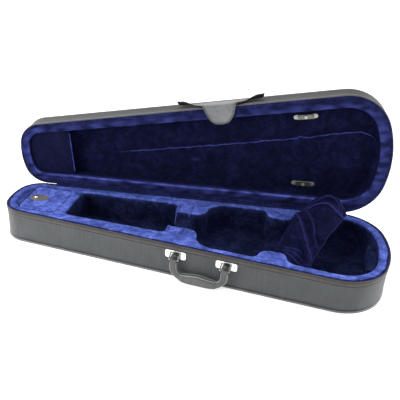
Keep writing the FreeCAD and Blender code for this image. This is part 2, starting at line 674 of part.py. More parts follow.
def slider_pieces(name, x):
    """A slider parked at one end of the zip, beside the hinge, with its pull hanging."""
    length, thick, height = SLIDER
    body = rounded_box((-length / 2, length / 2), (-height / 2, height / 2), (0.0, thick), 2.5)
    body.rotate(Vector(0, 0, 0), Vector(1, 0, 0), -90.0)
    body.translate(Vector(0, SLIDER_OUT, SLIDER_TOP - height / 2))
    out = SLIDER_OUT + thick
    bridge = block((-1.2, 1.2), (out, out + 4.0), (PULL_Z - 3.5, PULL_Z + 3.5))
    bridge = bridge.cut(block((-2.0, 2.0), (out, out + 2.6), (PULL_Z - 2.3, PULL_Z + 2.3)))
    slider = body.fuse(bridge).removeSplitter()
    long_side, width, tab = PULL_TAB
    pull = rounded_box((-width / 2, width / 2), (0.9 - long_side, 0.9), (0.0, tab), 0.8)
    for z0, z1, half in ((-4.7, -0.9, 1.9), (5.0 - long_side, 10.5 - long_side, 1.7)):
        pull = pull.cut(rounded_box((-half, half), (z0, z1), (-1.0, tab + 1.0), 0.7))
    pull.rotate(Vector(0, 0, 0), Vector(1, 0, 0), 90.0)
    pull.translate(Vector(0, PULL_OUT + tab / 2, PULL_Z))
    return {"zip_slider_" + name: rear_side(slider, x), "zip_pull_" + name: rear_side(pull, x)}


def write(pieces):
    """One STEP file for each named piece."""
    os.makedirs("parts", exist_ok=True)
    for name, shape in sorted(pieces.items()):
        shape.exportStep(os.path.join("parts", name + ".step"))
        box = shape.BoundBox
        print(f"{name:26s} solids {len(shape.Solids)} valid {shape.isValid()} vol {shape.Volume / 1000:9.2f} "
              f"x {box.XMin:7.1f} {box.XMax:7.1f} y {box.YMin:7.1f} {box.YMax:7.1f} "
              f"z {box.ZMin:6.1f} {box.ZMax:6.1f}")


def main():
    pieces = {}
    for group in (base_shell(), lid_shell(), base_padding(), compartment_pieces(), lid_padding(),
                  clip_pieces("front", -1, CLIP_SIDES[0]),
                  clip_pieces("rear", 1, CLIP_SIDES[1]), handle_pieces(), flap_pieces()):
        pieces.update(group)
    for name, x in SLIDER_X.items():
        pieces.update(slider_pieces(name, x))
    pieces["velvet_band"] = instrument_band().cut(pieces["front_body_pad"])
    write(pieces)


main()
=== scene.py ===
"""Looks for the violin case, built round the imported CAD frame.

Sizes are in millimetres until mesh_object(). Heights given to materials are in metres, with the case closed.
"""
import math

import bmesh
import bpy
import numpy as np
from mathutils import Matrix, Vector, kdtree, noise


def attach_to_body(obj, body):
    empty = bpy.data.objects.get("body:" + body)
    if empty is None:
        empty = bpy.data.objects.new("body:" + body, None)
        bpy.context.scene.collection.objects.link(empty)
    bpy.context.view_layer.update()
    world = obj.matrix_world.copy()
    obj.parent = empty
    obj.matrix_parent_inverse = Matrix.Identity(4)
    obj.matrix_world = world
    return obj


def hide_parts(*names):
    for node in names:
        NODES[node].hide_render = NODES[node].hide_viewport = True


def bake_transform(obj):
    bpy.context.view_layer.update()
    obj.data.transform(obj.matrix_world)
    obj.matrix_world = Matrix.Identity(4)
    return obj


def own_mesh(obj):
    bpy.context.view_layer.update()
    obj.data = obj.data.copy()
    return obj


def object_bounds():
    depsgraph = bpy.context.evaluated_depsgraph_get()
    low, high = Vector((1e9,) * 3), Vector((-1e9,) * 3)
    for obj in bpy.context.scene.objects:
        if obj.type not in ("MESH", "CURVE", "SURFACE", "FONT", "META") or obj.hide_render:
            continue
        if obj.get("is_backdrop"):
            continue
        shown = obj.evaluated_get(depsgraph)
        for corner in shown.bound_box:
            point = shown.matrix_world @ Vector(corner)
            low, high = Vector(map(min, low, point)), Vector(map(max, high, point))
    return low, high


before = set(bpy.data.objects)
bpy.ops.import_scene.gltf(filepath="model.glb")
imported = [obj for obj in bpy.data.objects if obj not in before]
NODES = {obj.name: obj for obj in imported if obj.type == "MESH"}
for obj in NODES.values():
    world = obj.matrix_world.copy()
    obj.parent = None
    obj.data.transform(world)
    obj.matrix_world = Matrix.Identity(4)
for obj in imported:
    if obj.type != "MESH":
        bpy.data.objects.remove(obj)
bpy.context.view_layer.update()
MM = 0.001

# ---- the case's own dimensions, as in the CAD source ----
LENGTH, NARROW_HALF, WIDE_HALF = 790, 64.4, 140
NARROW_CORNER_R, WIDE_CORNER_R = 50.5, 89.7
NARROW_END_R, WIDE_END_R = 144, 229.3
SLOPE = (WIDE_HALF - NARROW_HALF) / LENGTH
SIDE_ANGLE = math.atan(SLOPE)
BASE_HEIGHT = 71.7
RIM_GAP = 0.5
PAD_TOP = BASE_HEIGHT - RIM_GAP
LID_FLOOR_Z = 109.7
HINGE_X, HINGE_HALF = -28.4, 262
HANDLE_X, BAR_OUT, BAR_Z = 40.5, 12.5, 46.5
FLAP_X = 42.5


def half_width(x):
    return (NARROW_HALF + WIDE_HALF) / 2 + SLOPE * x


HINGE = Vector((HINGE_X, half_width(HINGE_X), BASE_HEIGHT))
HINGE_AXIS = Vector((-math.cos(SIDE_ANGLE), -math.sin(SIDE_ANGLE), 0))
OPEN = (Matrix.Translation(HINGE) @ Matrix.Rotation(math.pi / 2, 4, HINGE_AXIS)
        @ Matrix.Translation(-HINGE))
FLIP = Matrix.Diagonal((1, -1, 1, 1))


def side_matrix(x, front):
    """From a shape made along X with +Y outwards to its place on a side line."""
    m = Matrix.Translation((x, half_width(x), 0)) @ Matrix.Rotation(SIDE_ANGLE, 4, "Z")
    return FLIP @ m if front else m


# ---- outline ----

def corner(tip, corner_r, end_r, side):
    norm = math.hypot(1, SLOPE)
    normal = np.array([-SLOPE, 1]) / norm
    along = np.array([1, SLOPE]) * side / norm
    end_centre = np.array([tip - side * end_r, 0])
    start = np.array([0, (NARROW_HALF + WIDE_HALF) / 2]) - normal * corner_r
    rel = start - end_centre
    b = rel @ along
    c = rel @ rel - (end_r - corner_r) ** 2
    return start + along * (math.sqrt(b * b - c) - b), normal, end_centre


def arc(centre, r, a0, a1, step):
    n = max(2, int(abs(a1 - a0) * r / step))
    a = np.linspace(a0, a1, n)
    normal = np.stack([np.cos(a), np.sin(a)], 1)
    return centre + normal * r, normal


def half_outline(step):
    """Points and outward normals from the wide tip round the rear side to the narrow tip."""
    wide, normal, wide_end = corner(LENGTH / 2, WIDE_CORNER_R, WIDE_END_R, 1)
    slim, _, slim_end = corner(-LENGTH / 2, NARROW_CORNER_R, NARROW_END_R, -1)
    up = math.atan2(normal[1], normal[0])
    a = math.atan2(*(wide - wide_end)[::-1])
    b = math.atan2(*(slim - slim_end)[::-1])
    p, q = wide + normal * WIDE_CORNER_R, slim + normal * NARROW_CORNER_R
    n = int(np.linalg.norm(q - p) / step)
    t = np.linspace(0, 1, n)[:, None]
    parts = [arc(wide_end, WIDE_END_R, 0, a, step), arc(wide, WIDE_CORNER_R, a, up, step),
             (p + (q - p) * t, np.repeat(normal[None], n, 0)),
             arc(slim, NARROW_CORNER_R, up, b, step), arc(slim_end, NARROW_END_R, b, math.pi, step)]
    return [np.concatenate([part[k][:-1] for part in parts]) for k in (0, 1)]


def arc_lengths(points):
    """How far along a line each of its points lies."""
    return np.concatenate([[0], np.cumsum(np.linalg.norm(np.diff(points, axis=0), axis=1))])


def sampled(at, s, rows):
    """Rows of values known at s, read off at other places."""
    return np.stack([np.interp(at, s, column) for column in rows.T], 1)


def outline(inset, step):
    """The closed outline moved in by inset: evenly spaced points, and outward normals."""
    p, n = half_outline(0.5)
    p = np.concatenate([p, [[-LENGTH / 2, 0]], (p * (1, -1))[:0:-1]])
    n = np.concatenate([n, [[-1, 0]], (n * (1, -1))[:0:-1]])
    p = p - n * inset
    p, n = np.concatenate([p, p[:1]]), np.concatenate([n, n[:1]])
    s = arc_lengths(p)
    count = int(round(s[-1] / step))
    at = np.arange(count) * s[-1] / count
    normals = sampled(at, s, n)
    return sampled(at, s, p), normals / np.linalg.norm(normals, axis=1)[:, None]


def hinge_coords(p):
    """Along the hinge from its middle, and inwards from it."""
    c, s = math.cos(SIDE_ANGLE), math.sin(SIDE_ANGLE)
    x, y = p[:, 0] - HINGE.x, p[:, 1] - HINGE.y
    return x * c + y * s, x * s - y * c


def clear_of_hinge(p):
    """Which outline points are not in the hinge's stretch of the rear side."""
    along, _ = hinge_coords(p)
    return (p[:, 1] <= 0) | (np.abs(along) >= HINGE_HALF - 2)


# ---- meshes ----

def moved(points, matrix):
    m = np.array(matrix)
    return np.asarray(points, float) @ m[:3, :3].T + m[:3, 3]


def mesh_object(name, verts, faces, material, matrix=None, smooth=True, recalc=True):
    """A new object from points in millimetres, placed by matrix."""
    mesh = bpy.data.meshes.new(name)
    v = np.asarray(verts, float) if matrix is None else moved(verts, matrix)
    mesh.from_pydata((v * MM).tolist(), [], faces)
    mesh.validate()
    if recalc:
        bm = bmesh.new()
        bm.from_mesh(mesh)
        bmesh.ops.recalc_face_normals(bm, faces=bm.faces)
        bm.to_mesh(mesh)
        bm.free()
    mesh.polygons.foreach_set("use_smooth", [smooth] * len(mesh.polygons))
    mesh.materials.append(material)
    obj = bpy.data.objects.new(name, mesh)
    bpy.context.scene.collection.objects.link(obj)
    return obj


def grid_faces(rows, cols, close_rows=False, close_cols=False, offset=0):
    """Quads between the points of a grid, numbered row by row from offset."""
    faces = []
    for i in range(rows if close_rows else rows - 1):
        near, far = offset + i * cols, offset + (i + 1) % rows * cols
        for j in range(cols if close_cols else cols - 1):
            k = (j + 1) % cols
            faces.append([near + j, near + k, far + k, far + j])
    return faces


def outline_frames(inset, z, step, keep=None):
    """Frames along the outline: x along it, y outwards, z up."""
    p, n = outline(inset, step)
    use = keep(p) if keep else slice(None)
    return [((x, y, z), (b, -a, 0), (a, b, 0), (0, 0, 1)) for (x, y), (a, b) in zip(p[use], n[use])]


def joined(parts):
    verts, faces, at = [], [], 0
    for v, f in parts:
        v = np.asarray(v, float)
        verts.append(v)
        faces += [[at + i for i in face] for face in f]
        at += len(v)
    return np.concatenate(verts), faces


def copies(shape, frames):
    """One mesh from many placed copies: frames are (origin, x axis, y axis, z axis)."""
    v, f = shape
    return joined([(v @ np.array(axes) + np.asarray(o), f) for o, *axes in frames])


def tube_faces(rings, around, closed=False):
    faces = grid_faces(rings, around, close_rows=closed, close_cols=True)
    if not closed:
        faces += [list(range(around))[::-1], list(range((rings - 1) * around, rings * around))]
    return faces


def swept(path, section, closed=False):
    """Sweeps a closed section (list of (across, up)) along frames (origin, across axis, up axis)."""
    verts = [np.asarray(o) + np.asarray(a) * x + np.asarray(b) * y for o, a, b in path for x, y in section]
    return np.array(verts), tube_faces(len(path), len(section), closed)


def circle_section(rx, ry, count=10):
    angles = [2 * math.pi * i / count for i in range(count)]
    return [(rx * math.cos(a), ry * math.sin(a)) for a in angles]


def pill(length, width, height, rings, around):
    """A small rounded stitch or tooth along X."""
    turns = [math.pi * (i + 0.5) / rings for i in range(rings)]
    path = [((-math.cos(t) * length / 2, 0, 0), (0, math.sin(t) ** 0.6, 0), (0, 0, math.sin(t) ** 0.6))
            for t in turns]
    return swept(path, circle_section(width / 2, height / 2, around))


def directions(line):
    """Unit tangents along a curve."""
    tangent = np.gradient(line, axis=0)
    return tangent / np.linalg.norm(tangent, axis=1)[:, None]


def curve_points(points, count):
    """Evenly spaced points on a smooth curve through the given ones, and its length."""
    pts = np.array(points, float)
    ends = np.vstack([2 * pts[0] - pts[1], pts, 2 * pts[-1] - pts[-2]])
    dense = []
    for i in range(len(pts) - 1):
        a, b, c, d = ends[i:i + 4]
        for u in np.linspace(0, 1, 24, endpoint=False):
            dense.append(0.5 * (2 * b + (c - a) * u + (2 * a - 5 * b + 4 * c - d) * u * u
                                + (3 * b - a - 3 * c + d) * u ** 3))
    dense = np.array(dense + [pts[-1]])
    s = arc_lengths(dense)
    return sampled(np.linspace(0, s[-1], count), s, dense), s[-1]


def modifier(obj, kind, **settings):
    mod = obj.modifiers.new(kind.lower(), kind)
    for key, value in settings.items():
        setattr(mod, key, value)


def bake(obj):
    """Applies an object's modifiers."""
    bpy.context.view_layer.update()
    graph = bpy.context.evaluated_depsgraph_get()
    mesh = bpy.data.meshes.new_from_object(obj.evaluated_get(graph))
    obj.modifiers.clear()
    mesh.name = obj.name
    obj.data = mesh


def soft(name, parts, material, voxel, smooth):
    """Joins solids into one, at the given grain, with their edges softened."""
    obj = mesh_object(name, *joined(parts), material, recalc=False)
    modifier(obj, "REMESH", mode="VOXEL", voxel_size=voxel * MM, use_smooth_shade=True)
    modifier(obj, "SMOOTH", factor=0.5, iterations=smooth)
    bake(obj)
    return obj


def coords(obj):
    """A mesh's points in millimetres, and its normals."""
    co = np.zeros(len(obj.data.vertices) * 3)
    obj.data.vertices.foreach_get("co", co)
    no = np.zeros(len(co))
    obj.data.vertices.foreach_get("normal", no)
    return co.reshape(-1, 3) / MM, no.reshape(-1, 3)


def node_copy(names):
    """The vertices (mm) and faces of CAD nodes, joined."""
    return joined([(coords(NODES[name])[0], [list(p.vertices) for p in NODES[name].data.polygons])
                   for name in names])


def set_coords(obj, co):
    obj.data.vertices.foreach_set("co", (co * MM).ravel())
    obj.data.update()


def rumple(obj, amount, size, seed=0):
    """Moves the surface a little along its normals, as soft cloth over foam does."""
    co, no = coords(obj)
    shift = [noise.fractal(Vector(p) / size + Vector((seed, 0, 0)), 0.7, 2.1, 3) for p in co]
    set_coords(obj, co + no * (np.array(shift) * amount)[:, None])


def set_crush_and_highlight(obj, values):
    """Marks where the velvet is painted lighter, from 0 to 1: painted highlights along creases and edges,
    and crushed spots.
    """
    attribute = obj.data.attributes.new("crush_and_highlight", "FLOAT", "POINT")
    attribute.data.foreach_set("value", values)


def attach(obj, body, slot_name, *nodes):
    """Puts a piece on a body, and in place of any CAD nodes named. slot_name is not used."""
    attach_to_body(obj, body)
    if nodes:
        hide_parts(*nodes)


# ---- materials ----

def new_material(name):
    m = bpy.data.materials.new(name)
    m.use_nodes = True
    tree = m.node_tree
    return m, tree, tree.nodes["Principled BSDF"]


def set_inputs(shader, values):
    for name, value in values.items():
        shader.inputs[name].default_value = value


def feed(tree, value, socket):
    """Sets a socket to a number or colour, or links another socket to it."""
    if isinstance(value, (int, float, tuple)):
        socket.default_value = value
    else:
        tree.links.new(value, socket)


def tex_coord(tree, kind="Object"):
    return tree.nodes.new("ShaderNodeTexCoord").outputs[kind]


def object_coords(tree, scale=(1, 1, 1), rotation=(0, 0, 0)):
    mapping = tree.nodes.new("ShaderNodeMapping")
    set_inputs(mapping, {"Scale": scale, "Rotation": rotation})
    tree.links.new(tex_coord(tree), mapping.inputs["Vector"])
    return mapping.outputs["Vector"]


def math_node(tree, op, a, b=None):
    n = tree.nodes.new("ShaderNodeMath")
    n.operation = op
    for i, value in enumerate((a, b)):
        if value is not None:
            feed(tree, value, n.inputs[i])
    return n.outputs[0]


def weighted_sum(tree, *terms):
    """The sum of (socket, weight) terms."""
    total = None
    for value, weight in terms:
        term = math_node(tree, "MULTIPLY", value, weight)
        total = term if total is None else math_node(tree, "ADD", total, term)
    return total


def along_axis(tree, vector, axis):
    """How far a vector reaches along a fixed direction."""
    dot = tree.nodes.new("ShaderNodeVectorMath")
    dot.operation = "DOT_PRODUCT"
    dot.inputs[1].default_value = axis
    tree.links.new(vector, dot.inputs[0])
    return dot.outputs["Value"]


def height_coord(tree, place=None):
    """How far up a shell a point is, in metres, as if the case were closed."""
    inverse = (place or Matrix.Identity(4)).inverted()
    return math_node(tree, "ADD", along_axis(tree, tex_coord(tree), inverse[2][:3]), inverse[2][3] * MM)


def noise_tex(tree, vector, scale, detail, rough, distort=0):
    n = tree.nodes.new("ShaderNodeTexNoise")
    set_inputs(n, {"Scale": scale, "Detail": detail, "Roughness": rough, "Distortion": distort})
    tree.links.new(vector, n.inputs["Vector"])
    return n.outputs["Fac"]


def scaled(colour, share):
    return [min(1, c * share) for c in colour]


def ramp(tree, fac, stops):
    n = tree.nodes.new("ShaderNodeValToRGB")
    while len(n.color_ramp.elements) < len(stops):
        n.color_ramp.elements.new(0.5)
    for e, (at, colour) in zip(n.color_ramp.elements, stops):
        e.position = at
        e.color = (*colour, 1)
    tree.links.new(fac, n.inputs["Fac"])
    return n.outputs["Color"]


def bump(tree, bsdf, layers):
    """Bump from several (height, strength, distance in mm) layers."""
    last = None
    for height, strength, distance in layers:
        n = tree.nodes.new("ShaderNodeBump")
        set_inputs(n, {"Strength": strength, "Distance": distance * MM})
        tree.links.new(height, n.inputs["Height"])
        if last is not None:
            tree.links.new(last, n.inputs["Normal"])
        last = n.outputs["Normal"]
    tree.links.new(last, bsdf.inputs["Normal"])


def mixed(tree, share, a, b, blend="MIX"):
    mix = tree.nodes.new("ShaderNodeMix")
    mix.data_type = "RGBA"
    mix.blend_type = blend
    for value, index in ((share, 0), (a, 6), (b, 7)):
        feed(tree, value, mix.inputs[index])
    return mix.outputs[2]


def shaded(tree, colour, height, stops):
    """The colour, darkened by height: stops are (metres, share)."""
    low, high = stops[0][0], stops[-1][0]
    at = math_node(tree, "DIVIDE", math_node(tree, "SUBTRACT", height, low), high - low)
    shade = ramp(tree, at, [((z - low) / (high - low), (share, share, share)) for z, share in stops])
    return mixed(tree, 1, colour, shade, "MULTIPLY")


def velvet(name, pile, sheen, tint=(0.22, 0.32, 1), sheen_rough=0.35, shades=None, crest=None, place=None):
    """Crushed pile: patches that lie different ways, a fine nap, and sheen at the edges.

    pile is its dark, middle and light colours. shades are (height in metres, share): painted shade, the pile
    darker where it lies deeper. crest is (direction, shades) for the faces that turn that way: a painted
    highlight, those faces lighter as if lit from there. A mesh attribute, read below, lightens the pile:
    painted highlights along creases and edges, and crushed spots."""
    m, tree, bsdf = new_material(name)
    vec = object_coords(tree)
    patches = noise_tex(tree, vec, 38, 5, 0.62, 0.9)
    strokes = noise_tex(tree, object_coords(tree, (1, 2.6, 1.6), (0.3, 0.2, 0.5)), 130, 4, 0.6, 1.2)
    both = weighted_sum(tree, (patches, 0.55), (strokes, 0.45))
    colour = ramp(tree, both, list(zip((0.36, 0.5, 0.64), pile)))
    # a point attribute lightens the pile: painted highlights, and crushed spots
    crush_and_highlight = tree.nodes.new("ShaderNodeAttribute")
    crush_and_highlight.attribute_name = "crush_and_highlight"
    colour = plain = mixed(tree, crush_and_highlight.outputs["Fac"], colour, (*scaled(pile[2], 2.4), 1))
    # painted shade and highlight: the pile darkens by height, and faces turned the crest's way take lighter
    # stops
    if shades:
        colour = shaded(tree, plain, height_coord(tree, place), shades)
    if crest:
        facing, stops = crest
        faced = along_axis(tree, tex_coord(tree, "Normal"), facing)
        lit = ramp(tree, faced, [(0.15, (0, 0, 0)), (0.75, (1, 1, 1))])
        colour = mixed(tree, lit, colour, shaded(tree, plain, height_coord(tree, place), stops))
    tree.links.new(colour, bsdf.inputs["Base Color"])
    set_inputs(bsdf, {"Roughness": 0.92, "Specular IOR Level": 0.04, "Sheen Weight": sheen,
                      "Sheen Roughness": sheen_rough, "Sheen Tint": (*tint, 1)})
    nap = noise_tex(tree, vec, 900, 2, 0.6)
    bump(tree, bsdf, [(both, 0.5, 2.6), (nap, 0.35, 0.35)])
    return m


WEAVE_CONTRAST, WEAVE_STREAK, WEAVE_PATCH = 0.35, 0.25, 0.3


def weave(name, colour, place=None, pitch=0.9, shades=None):
    """Plain woven cloth on the walls. shades are (height in metres, share): painted shade and light in bands
    by height, such as shadow lines along seams.
    """
    m, tree, bsdf = new_material(name)
    turn = (place or Matrix.Identity(4)).to_3x3()
    up = height_coord(tree, place)
    k = 2 * math.pi / (pitch * MM)
    threads = [math_node(tree, "SINE", math_node(tree, "MULTIPLY", way, k))
               for way in (along_axis(tree, tex_coord(tree), turn @ Vector((1, 1, 0))), up)]
    cloth = math_node(tree, "MULTIPLY", *threads)
    patchy = noise_tex(tree, object_coords(tree), 26, 5, 0.6)
    tall = turn @ Vector((0, 0, 1))
    stretch = [7 + 63 * (1 - abs(c)) for c in tall]
    streaks = noise_tex(tree, object_coords(tree, stretch), 3, 3, 0.6)
    tone = weighted_sum(tree, (cloth, 0.5 * WEAVE_CONTRAST), (streaks, WEAVE_STREAK), (patchy, WEAVE_PATCH))
    mid = (WEAVE_STREAK + WEAVE_PATCH) / 2
    tinted = ramp(tree, tone, [(mid - 0.2, scaled(colour, 1 - WEAVE_CONTRAST)),
                               (mid + 0.2, scaled(colour, 1 + WEAVE_CONTRAST))])
    if shades:
        tinted = shaded(tree, tinted, up, shades)
    tree.links.new(tinted, bsdf.inputs["Base Color"])
    set_inputs(bsdf, {"Roughness": 0.62, "Specular IOR Level": 0.15, "Sheen Weight": 0.08})
    bump(tree, bsdf, [(cloth, 0.4, 0.12), (patchy, 0.15, 0.6)])
    return m


def leather(name, colour, rough=0.42):
    m, tree, bsdf = new_material(name)
    vec = object_coords(tree)
    grain = tree.nodes.new("ShaderNodeTexVoronoi")
    grain.feature = "DISTANCE_TO_EDGE"
    set_inputs(grain, {"Scale": 900})
    tree.links.new(vec, grain.inputs["Vector"])
    cells = grain.outputs["Distance"]
    tone = noise_tex(tree, vec, 45, 4, 0.6)
    toned = ramp(tree, tone, [(0.35, scaled(colour, 0.8)), (0.65, scaled(colour, 1.2))])
    tree.links.new(toned, bsdf.inputs["Base Color"])
    set_inputs(bsdf, {"Roughness": rough, "Specular IOR Level": 0.5})
    bump(tree, bsdf, [(cells, 0.45, 0.12), (tone, 0.2, 0.8)])
    return m


def metal(name, colour, rough, scratches=0.05, metallic=1):
    m, tree, bsdf = new_material(name)
    vec = object_coords(tree, (1, 1, 6))
    tone = noise_tex(tree, vec, 180, 3, 0.6)
    toned = ramp(tree, tone, [(0.35, scaled(colour, 1 - scratches)), (0.65, colour)])
    tree.links.new(toned, bsdf.inputs["Base Color"])
    set_inputs(bsdf, {"Metallic": metallic, "Roughness": rough})
    bump(tree, bsdf, [(tone, 0.05, 0.1)])
    return m


# painted shade, by height in closed-case metres: the base's velvet darkens down into its wells and hollows
RIM_SHADES = [(0.05, 0.1), (0.06, 0.125), (0.0665, 0.22), (0.0684, 0.42), (0.0698, 1)]
# painted shade and highlight in the lid: the first set darkens its velvet, most at the floor; the second,
# for faces turned up with the lid open, is lighter, brightest along the rim
LID_DEEP = [(0.0722, 0.26), (0.0742, 0.34), (0.078, 0.22), (0.1097, 0.18)]
LID_CREST = [(0.0722, 0.3), (0.0738, 1), (0.08, 0.9), (0.088, 0.26), (0.1097, 0.16)]
DEEP_TINT = (0.2, 0.28, 1)
VELVET = velvet("velvet", ((0.018, 0.028, 0.125), (0.058, 0.085, 0.34), (0.15, 0.21, 0.7)), 0.12,
                shades=RIM_SHADES)
# painted shade: a dimmer copy of the velvet for the finger recess at the accessory box's end
VELVET_RECESS_SHADE = velvet("velvet_recess_shade", ((0.02, 0.03, 0.13), (0.045, 0.066, 0.27), (0.09, 0.13, 0.46)),
                       0.12)
# painted highlight: a lighter copy of the velvet, without depth shade, for the rolled edges on the saddle
VELVET_ROLL_HIGHLIGHT = velvet("velvet_roll_highlight", ((0.02, 0.028, 0.11), (0.05, 0.07, 0.27), (0.1, 0.13, 0.46)), 0.3)
# painted highlight: a lighter copy of the lid's velvet for the fold on its floor and the pocket's hem
VELVET_FOLD_HIGHLIGHT = velvet("velvet_fold_highlight", ((0.012, 0.014, 0.07), (0.028, 0.034, 0.16), (0.06, 0.07, 0.32)), 0.2)
# painted shade: a near-black copy of the velvet for the inside of the bow pocket
VELVET_POCKET_SHADE = velvet("velvet_pocket_shade", ((0.0035, 0.0042, 0.018), (0.0052, 0.0062, 0.026),
                                         (0.008, 0.0095, 0.042)), 0.05, DEEP_TINT)
# painted shade: a dark copy of the velvet, for the walls' meeting edges, the hinge strip and the grooves
# round the box lid
VELVET_SHADE = velvet("velvet_shade", ((0.004, 0.006, 0.026), (0.01, 0.013, 0.055), (0.02, 0.028, 0.12)),
                     0.05, DEEP_TINT)
VELVET_LID = velvet("velvet_lid", ((0.012, 0.015, 0.07), (0.024, 0.03, 0.14), (0.052, 0.065, 0.28)), 0.05,
                    DEEP_TINT, shades=LID_DEEP, crest=((0.45, 0, 0.9), LID_CREST), place=OPEN)
VELVET_BAND = velvet("velvet_band", ((0.002, 0.0023, 0.013), (0.0035, 0.004, 0.022), (0.01, 0.012, 0.058)),
                     0.035, (0.22, 0.25, 0.95), 0.28)
NYLON = (0.07, 0.075, 0.078)
# painted shade: a darker copy of the cloth for the lid's wall, which faces up when open
NYLON_TOP_SHADE = (0.036, 0.037, 0.038)
TAPE = (0.072, 0.066, 0.062)
# painted light: a lighter copy of the zip tape for the lid
TAPE_TOP_LIGHT = (0.105, 0.1, 0.096)
# painted shadow lines on the base's wall: just above the piping, and just above the welt at the zip tape's
# lower edge
WALL_SHADES = [(0, 1), (0.0046, 1), (0.0056, 0.3), (0.0072, 0.3), (0.0084, 0.85), (0.012, 1), (0.059, 1),
               (0.06, 0.45), (0.0612, 0.45), (0.0622, 1)]
# painted on the lid's wall: shadow lines by its welt and by its piping, lighter bands either side of the
# welt, and a painted gradient, lighter towards the meeting edge
LID_SHADES = [(0.0813, 1.5), (0.0823, 0.6), (0.0835, 0.6), (0.0845, 1.5), (0.093, 1.15), (0.1105, 0.9),
              (0.1122, 0.8), (0.1134, 0.35), (0.1148, 0.35), (0.1158, 1), (0.12, 1)]
# painted on the zip tape: shade along its lower seam and just under the coil, with lighter and darker bands
# between
TAPE_SHADES = [(0.06, 0.45), (0.0618, 0.9), (0.064, 1.15), (0.066, 0.85), (0.068, 0.7), (0.069, 0.35),
               (0.07, 1), (0.0716, 1.15)]
NYLON_BASE = weave("nylon_base", NYLON, shades=WALL_SHADES)
NYLON_LID = weave("nylon_lid", NYLON_TOP_SHADE, OPEN, shades=LID_SHADES)
TAPE_BASE = weave("tape_base", TAPE, None, 0.6, shades=TAPE_SHADES)
# the same painted bands, turned over for the lid's tape
TAPE_LID_SHADES = [(2 * BASE_HEIGHT * MM - z, share) for z, share in TAPE_SHADES[::-1]]
TAPE_LID = weave("tape_lid", TAPE_TOP_LIGHT, OPEN, 0.6, shades=TAPE_LID_SHADES)
TAPE_HINGE = weave("tape_hinge", TAPE, None, 0.6)
PIPING = leather("piping", (0.13, 0.13, 0.132), 0.5)
LEATHER = leather("leatherette", (0.068, 0.069, 0.07), 0.34)
# painted highlight: a light copy of the leatherette for the handle's edges
LEATHER_EDGE_HIGHLIGHT = leather("leatherette_edge_highlight", (0.24, 0.245, 0.245), 0.45)
FLAP_BORDER = leather("flap_border", (0.085, 0.086, 0.087), 0.45)
FLAP_LEATHER = leather("flap_leatherette", (0.155, 0.161, 0.166))
STITCH = leather("thread", (0.16, 0.16, 0.155), 0.7)
DARK_STITCH = leather("dark_thread", (0.06, 0.06, 0.06), 0.7)
COIL = leather("zip_coil", (0.06, 0.057, 0.053), 0.4)
CHROME = metal("chrome", (0.84, 0.9, 0.88), 0.22)
STEEL = metal("loop_steel", (0.3, 0.3, 0.28), 0.2)
CLIP = metal("clip_chrome", (0.15, 0.15, 0.13), 0.2, 0.15, 0.6)
CLIP_PLATE = metal("clip_plate", (0.42, 0.42, 0.37), 0.25, 0.2, 0.45)
ZIP_METAL = metal("zip_metal", (0.05, 0.05, 0.055), 0.35, 0.2, 0.6)
PULL_PLATE = metal("pull_plate", (0.155, 0.138, 0.128), 0.45, 0.3, 0.25)
STUD = metal("pull_stud", (0.85, 0.85, 0.83), 0.2)
STUD_HEAD = metal("stud_head", (0.006, 0.006, 0.01), 0.5, 0.1, 0)
# painted shade: a near-black copy of the leatherette for the flap's underside, seen where the wings curl off
# the wall
FLAP_UNDERSIDE_SHADE = leather("flap_underside_shade", (0.01, 0.01, 0.011), 0.8)
# painted shade: a near-black copy of the leatherette for the straps' folded ends in the loops
LEATHER_SHADE = leather("leatherette_shade", (0.016, 0.016, 0.015), 0.35)


def paint(material, bevel, *names):
    """Gives CAD nodes a material, and bevels their edges by so many millimetres."""
    for name in names:
        obj = NODES[name]
        obj.data.materials.clear()
        obj.data.materials.append(material)
        if bevel:
            modifier(obj, "BEVEL", width=bevel * MM, segments=2, limit_method="ANGLE",
                     angle_limit=math.radians(35), use_clamp_overlap=True)


paint(NYLON_BASE, 0, "base_side_wall", "base_bottom_panel")
paint(NYLON_LID, 0, "lid_side_wall", "lid_top_panel")
paint(TAPE_BASE, 0, "base_zip_tape")
paint(TAPE_LID, 0, "lid_zip_tape")
paint(PIPING, 0, "base_piping", "lid_piping")
paint(CHROME, 0.5, "handle_plate_left", "handle_plate_right")
paint(CHROME, 0.2, "plate_rivets_left", "plate_rivets_right")
paint(STEEL, 0, "handle_loop_left", "handle_loop_right")
paint(CLIP, 0.5, "front_clip_bar", "rear_clip_bar")
paint(CLIP_PLATE, 0.5, "front_clip_base", "rear_clip_base")
paint(ZIP_METAL, 0.3, "zip_slider_wide", "zip_slider_narrow", "zip_pull_wide", "zip_pull_narrow")
paint(PULL_PLATE, 0.3, "compartment_pull_plate")
paint(STUD, 0.3, "compartment_pull_stud")


def paint_rim(name, facing, material):
    """The edge of a wall that meets the other shell is covered with velvet."""
    obj = NODES[name]
    obj.data.materials.append(material)
    for face in obj.data.polygons:
        if face.normal.dot(facing) > 0.95:
            face.material_index = 1


# the walls' meeting edges take the dark velvet copy: painted shade along the rims
paint_rim("base_side_wall", Vector((0, 0, 1)), VELVET_SHADE)
paint_rim("lid_side_wall", OPEN.to_3x3() @ Vector((0, 0, -1)), VELVET_SHADE)

# ---- velvet over the base's padding ----

PADS = ["padded_floor", "scroll_end_block", "front_neck_pad", "rear_neck_pad", "neck_saddle",
        "front_body_pad", "rear_body_pad", "wide_end_pad"]
LID_PADS = ["lid_floor_lining", "lid_front_pad", "lid_rear_pad", "lid_narrow_end_pad", "lid_wide_end_pad"]
RING_OUTER, RING_INNER = 3, 9
RING_LOW, RING_HIGH = 58, BASE_HEIGHT + 13


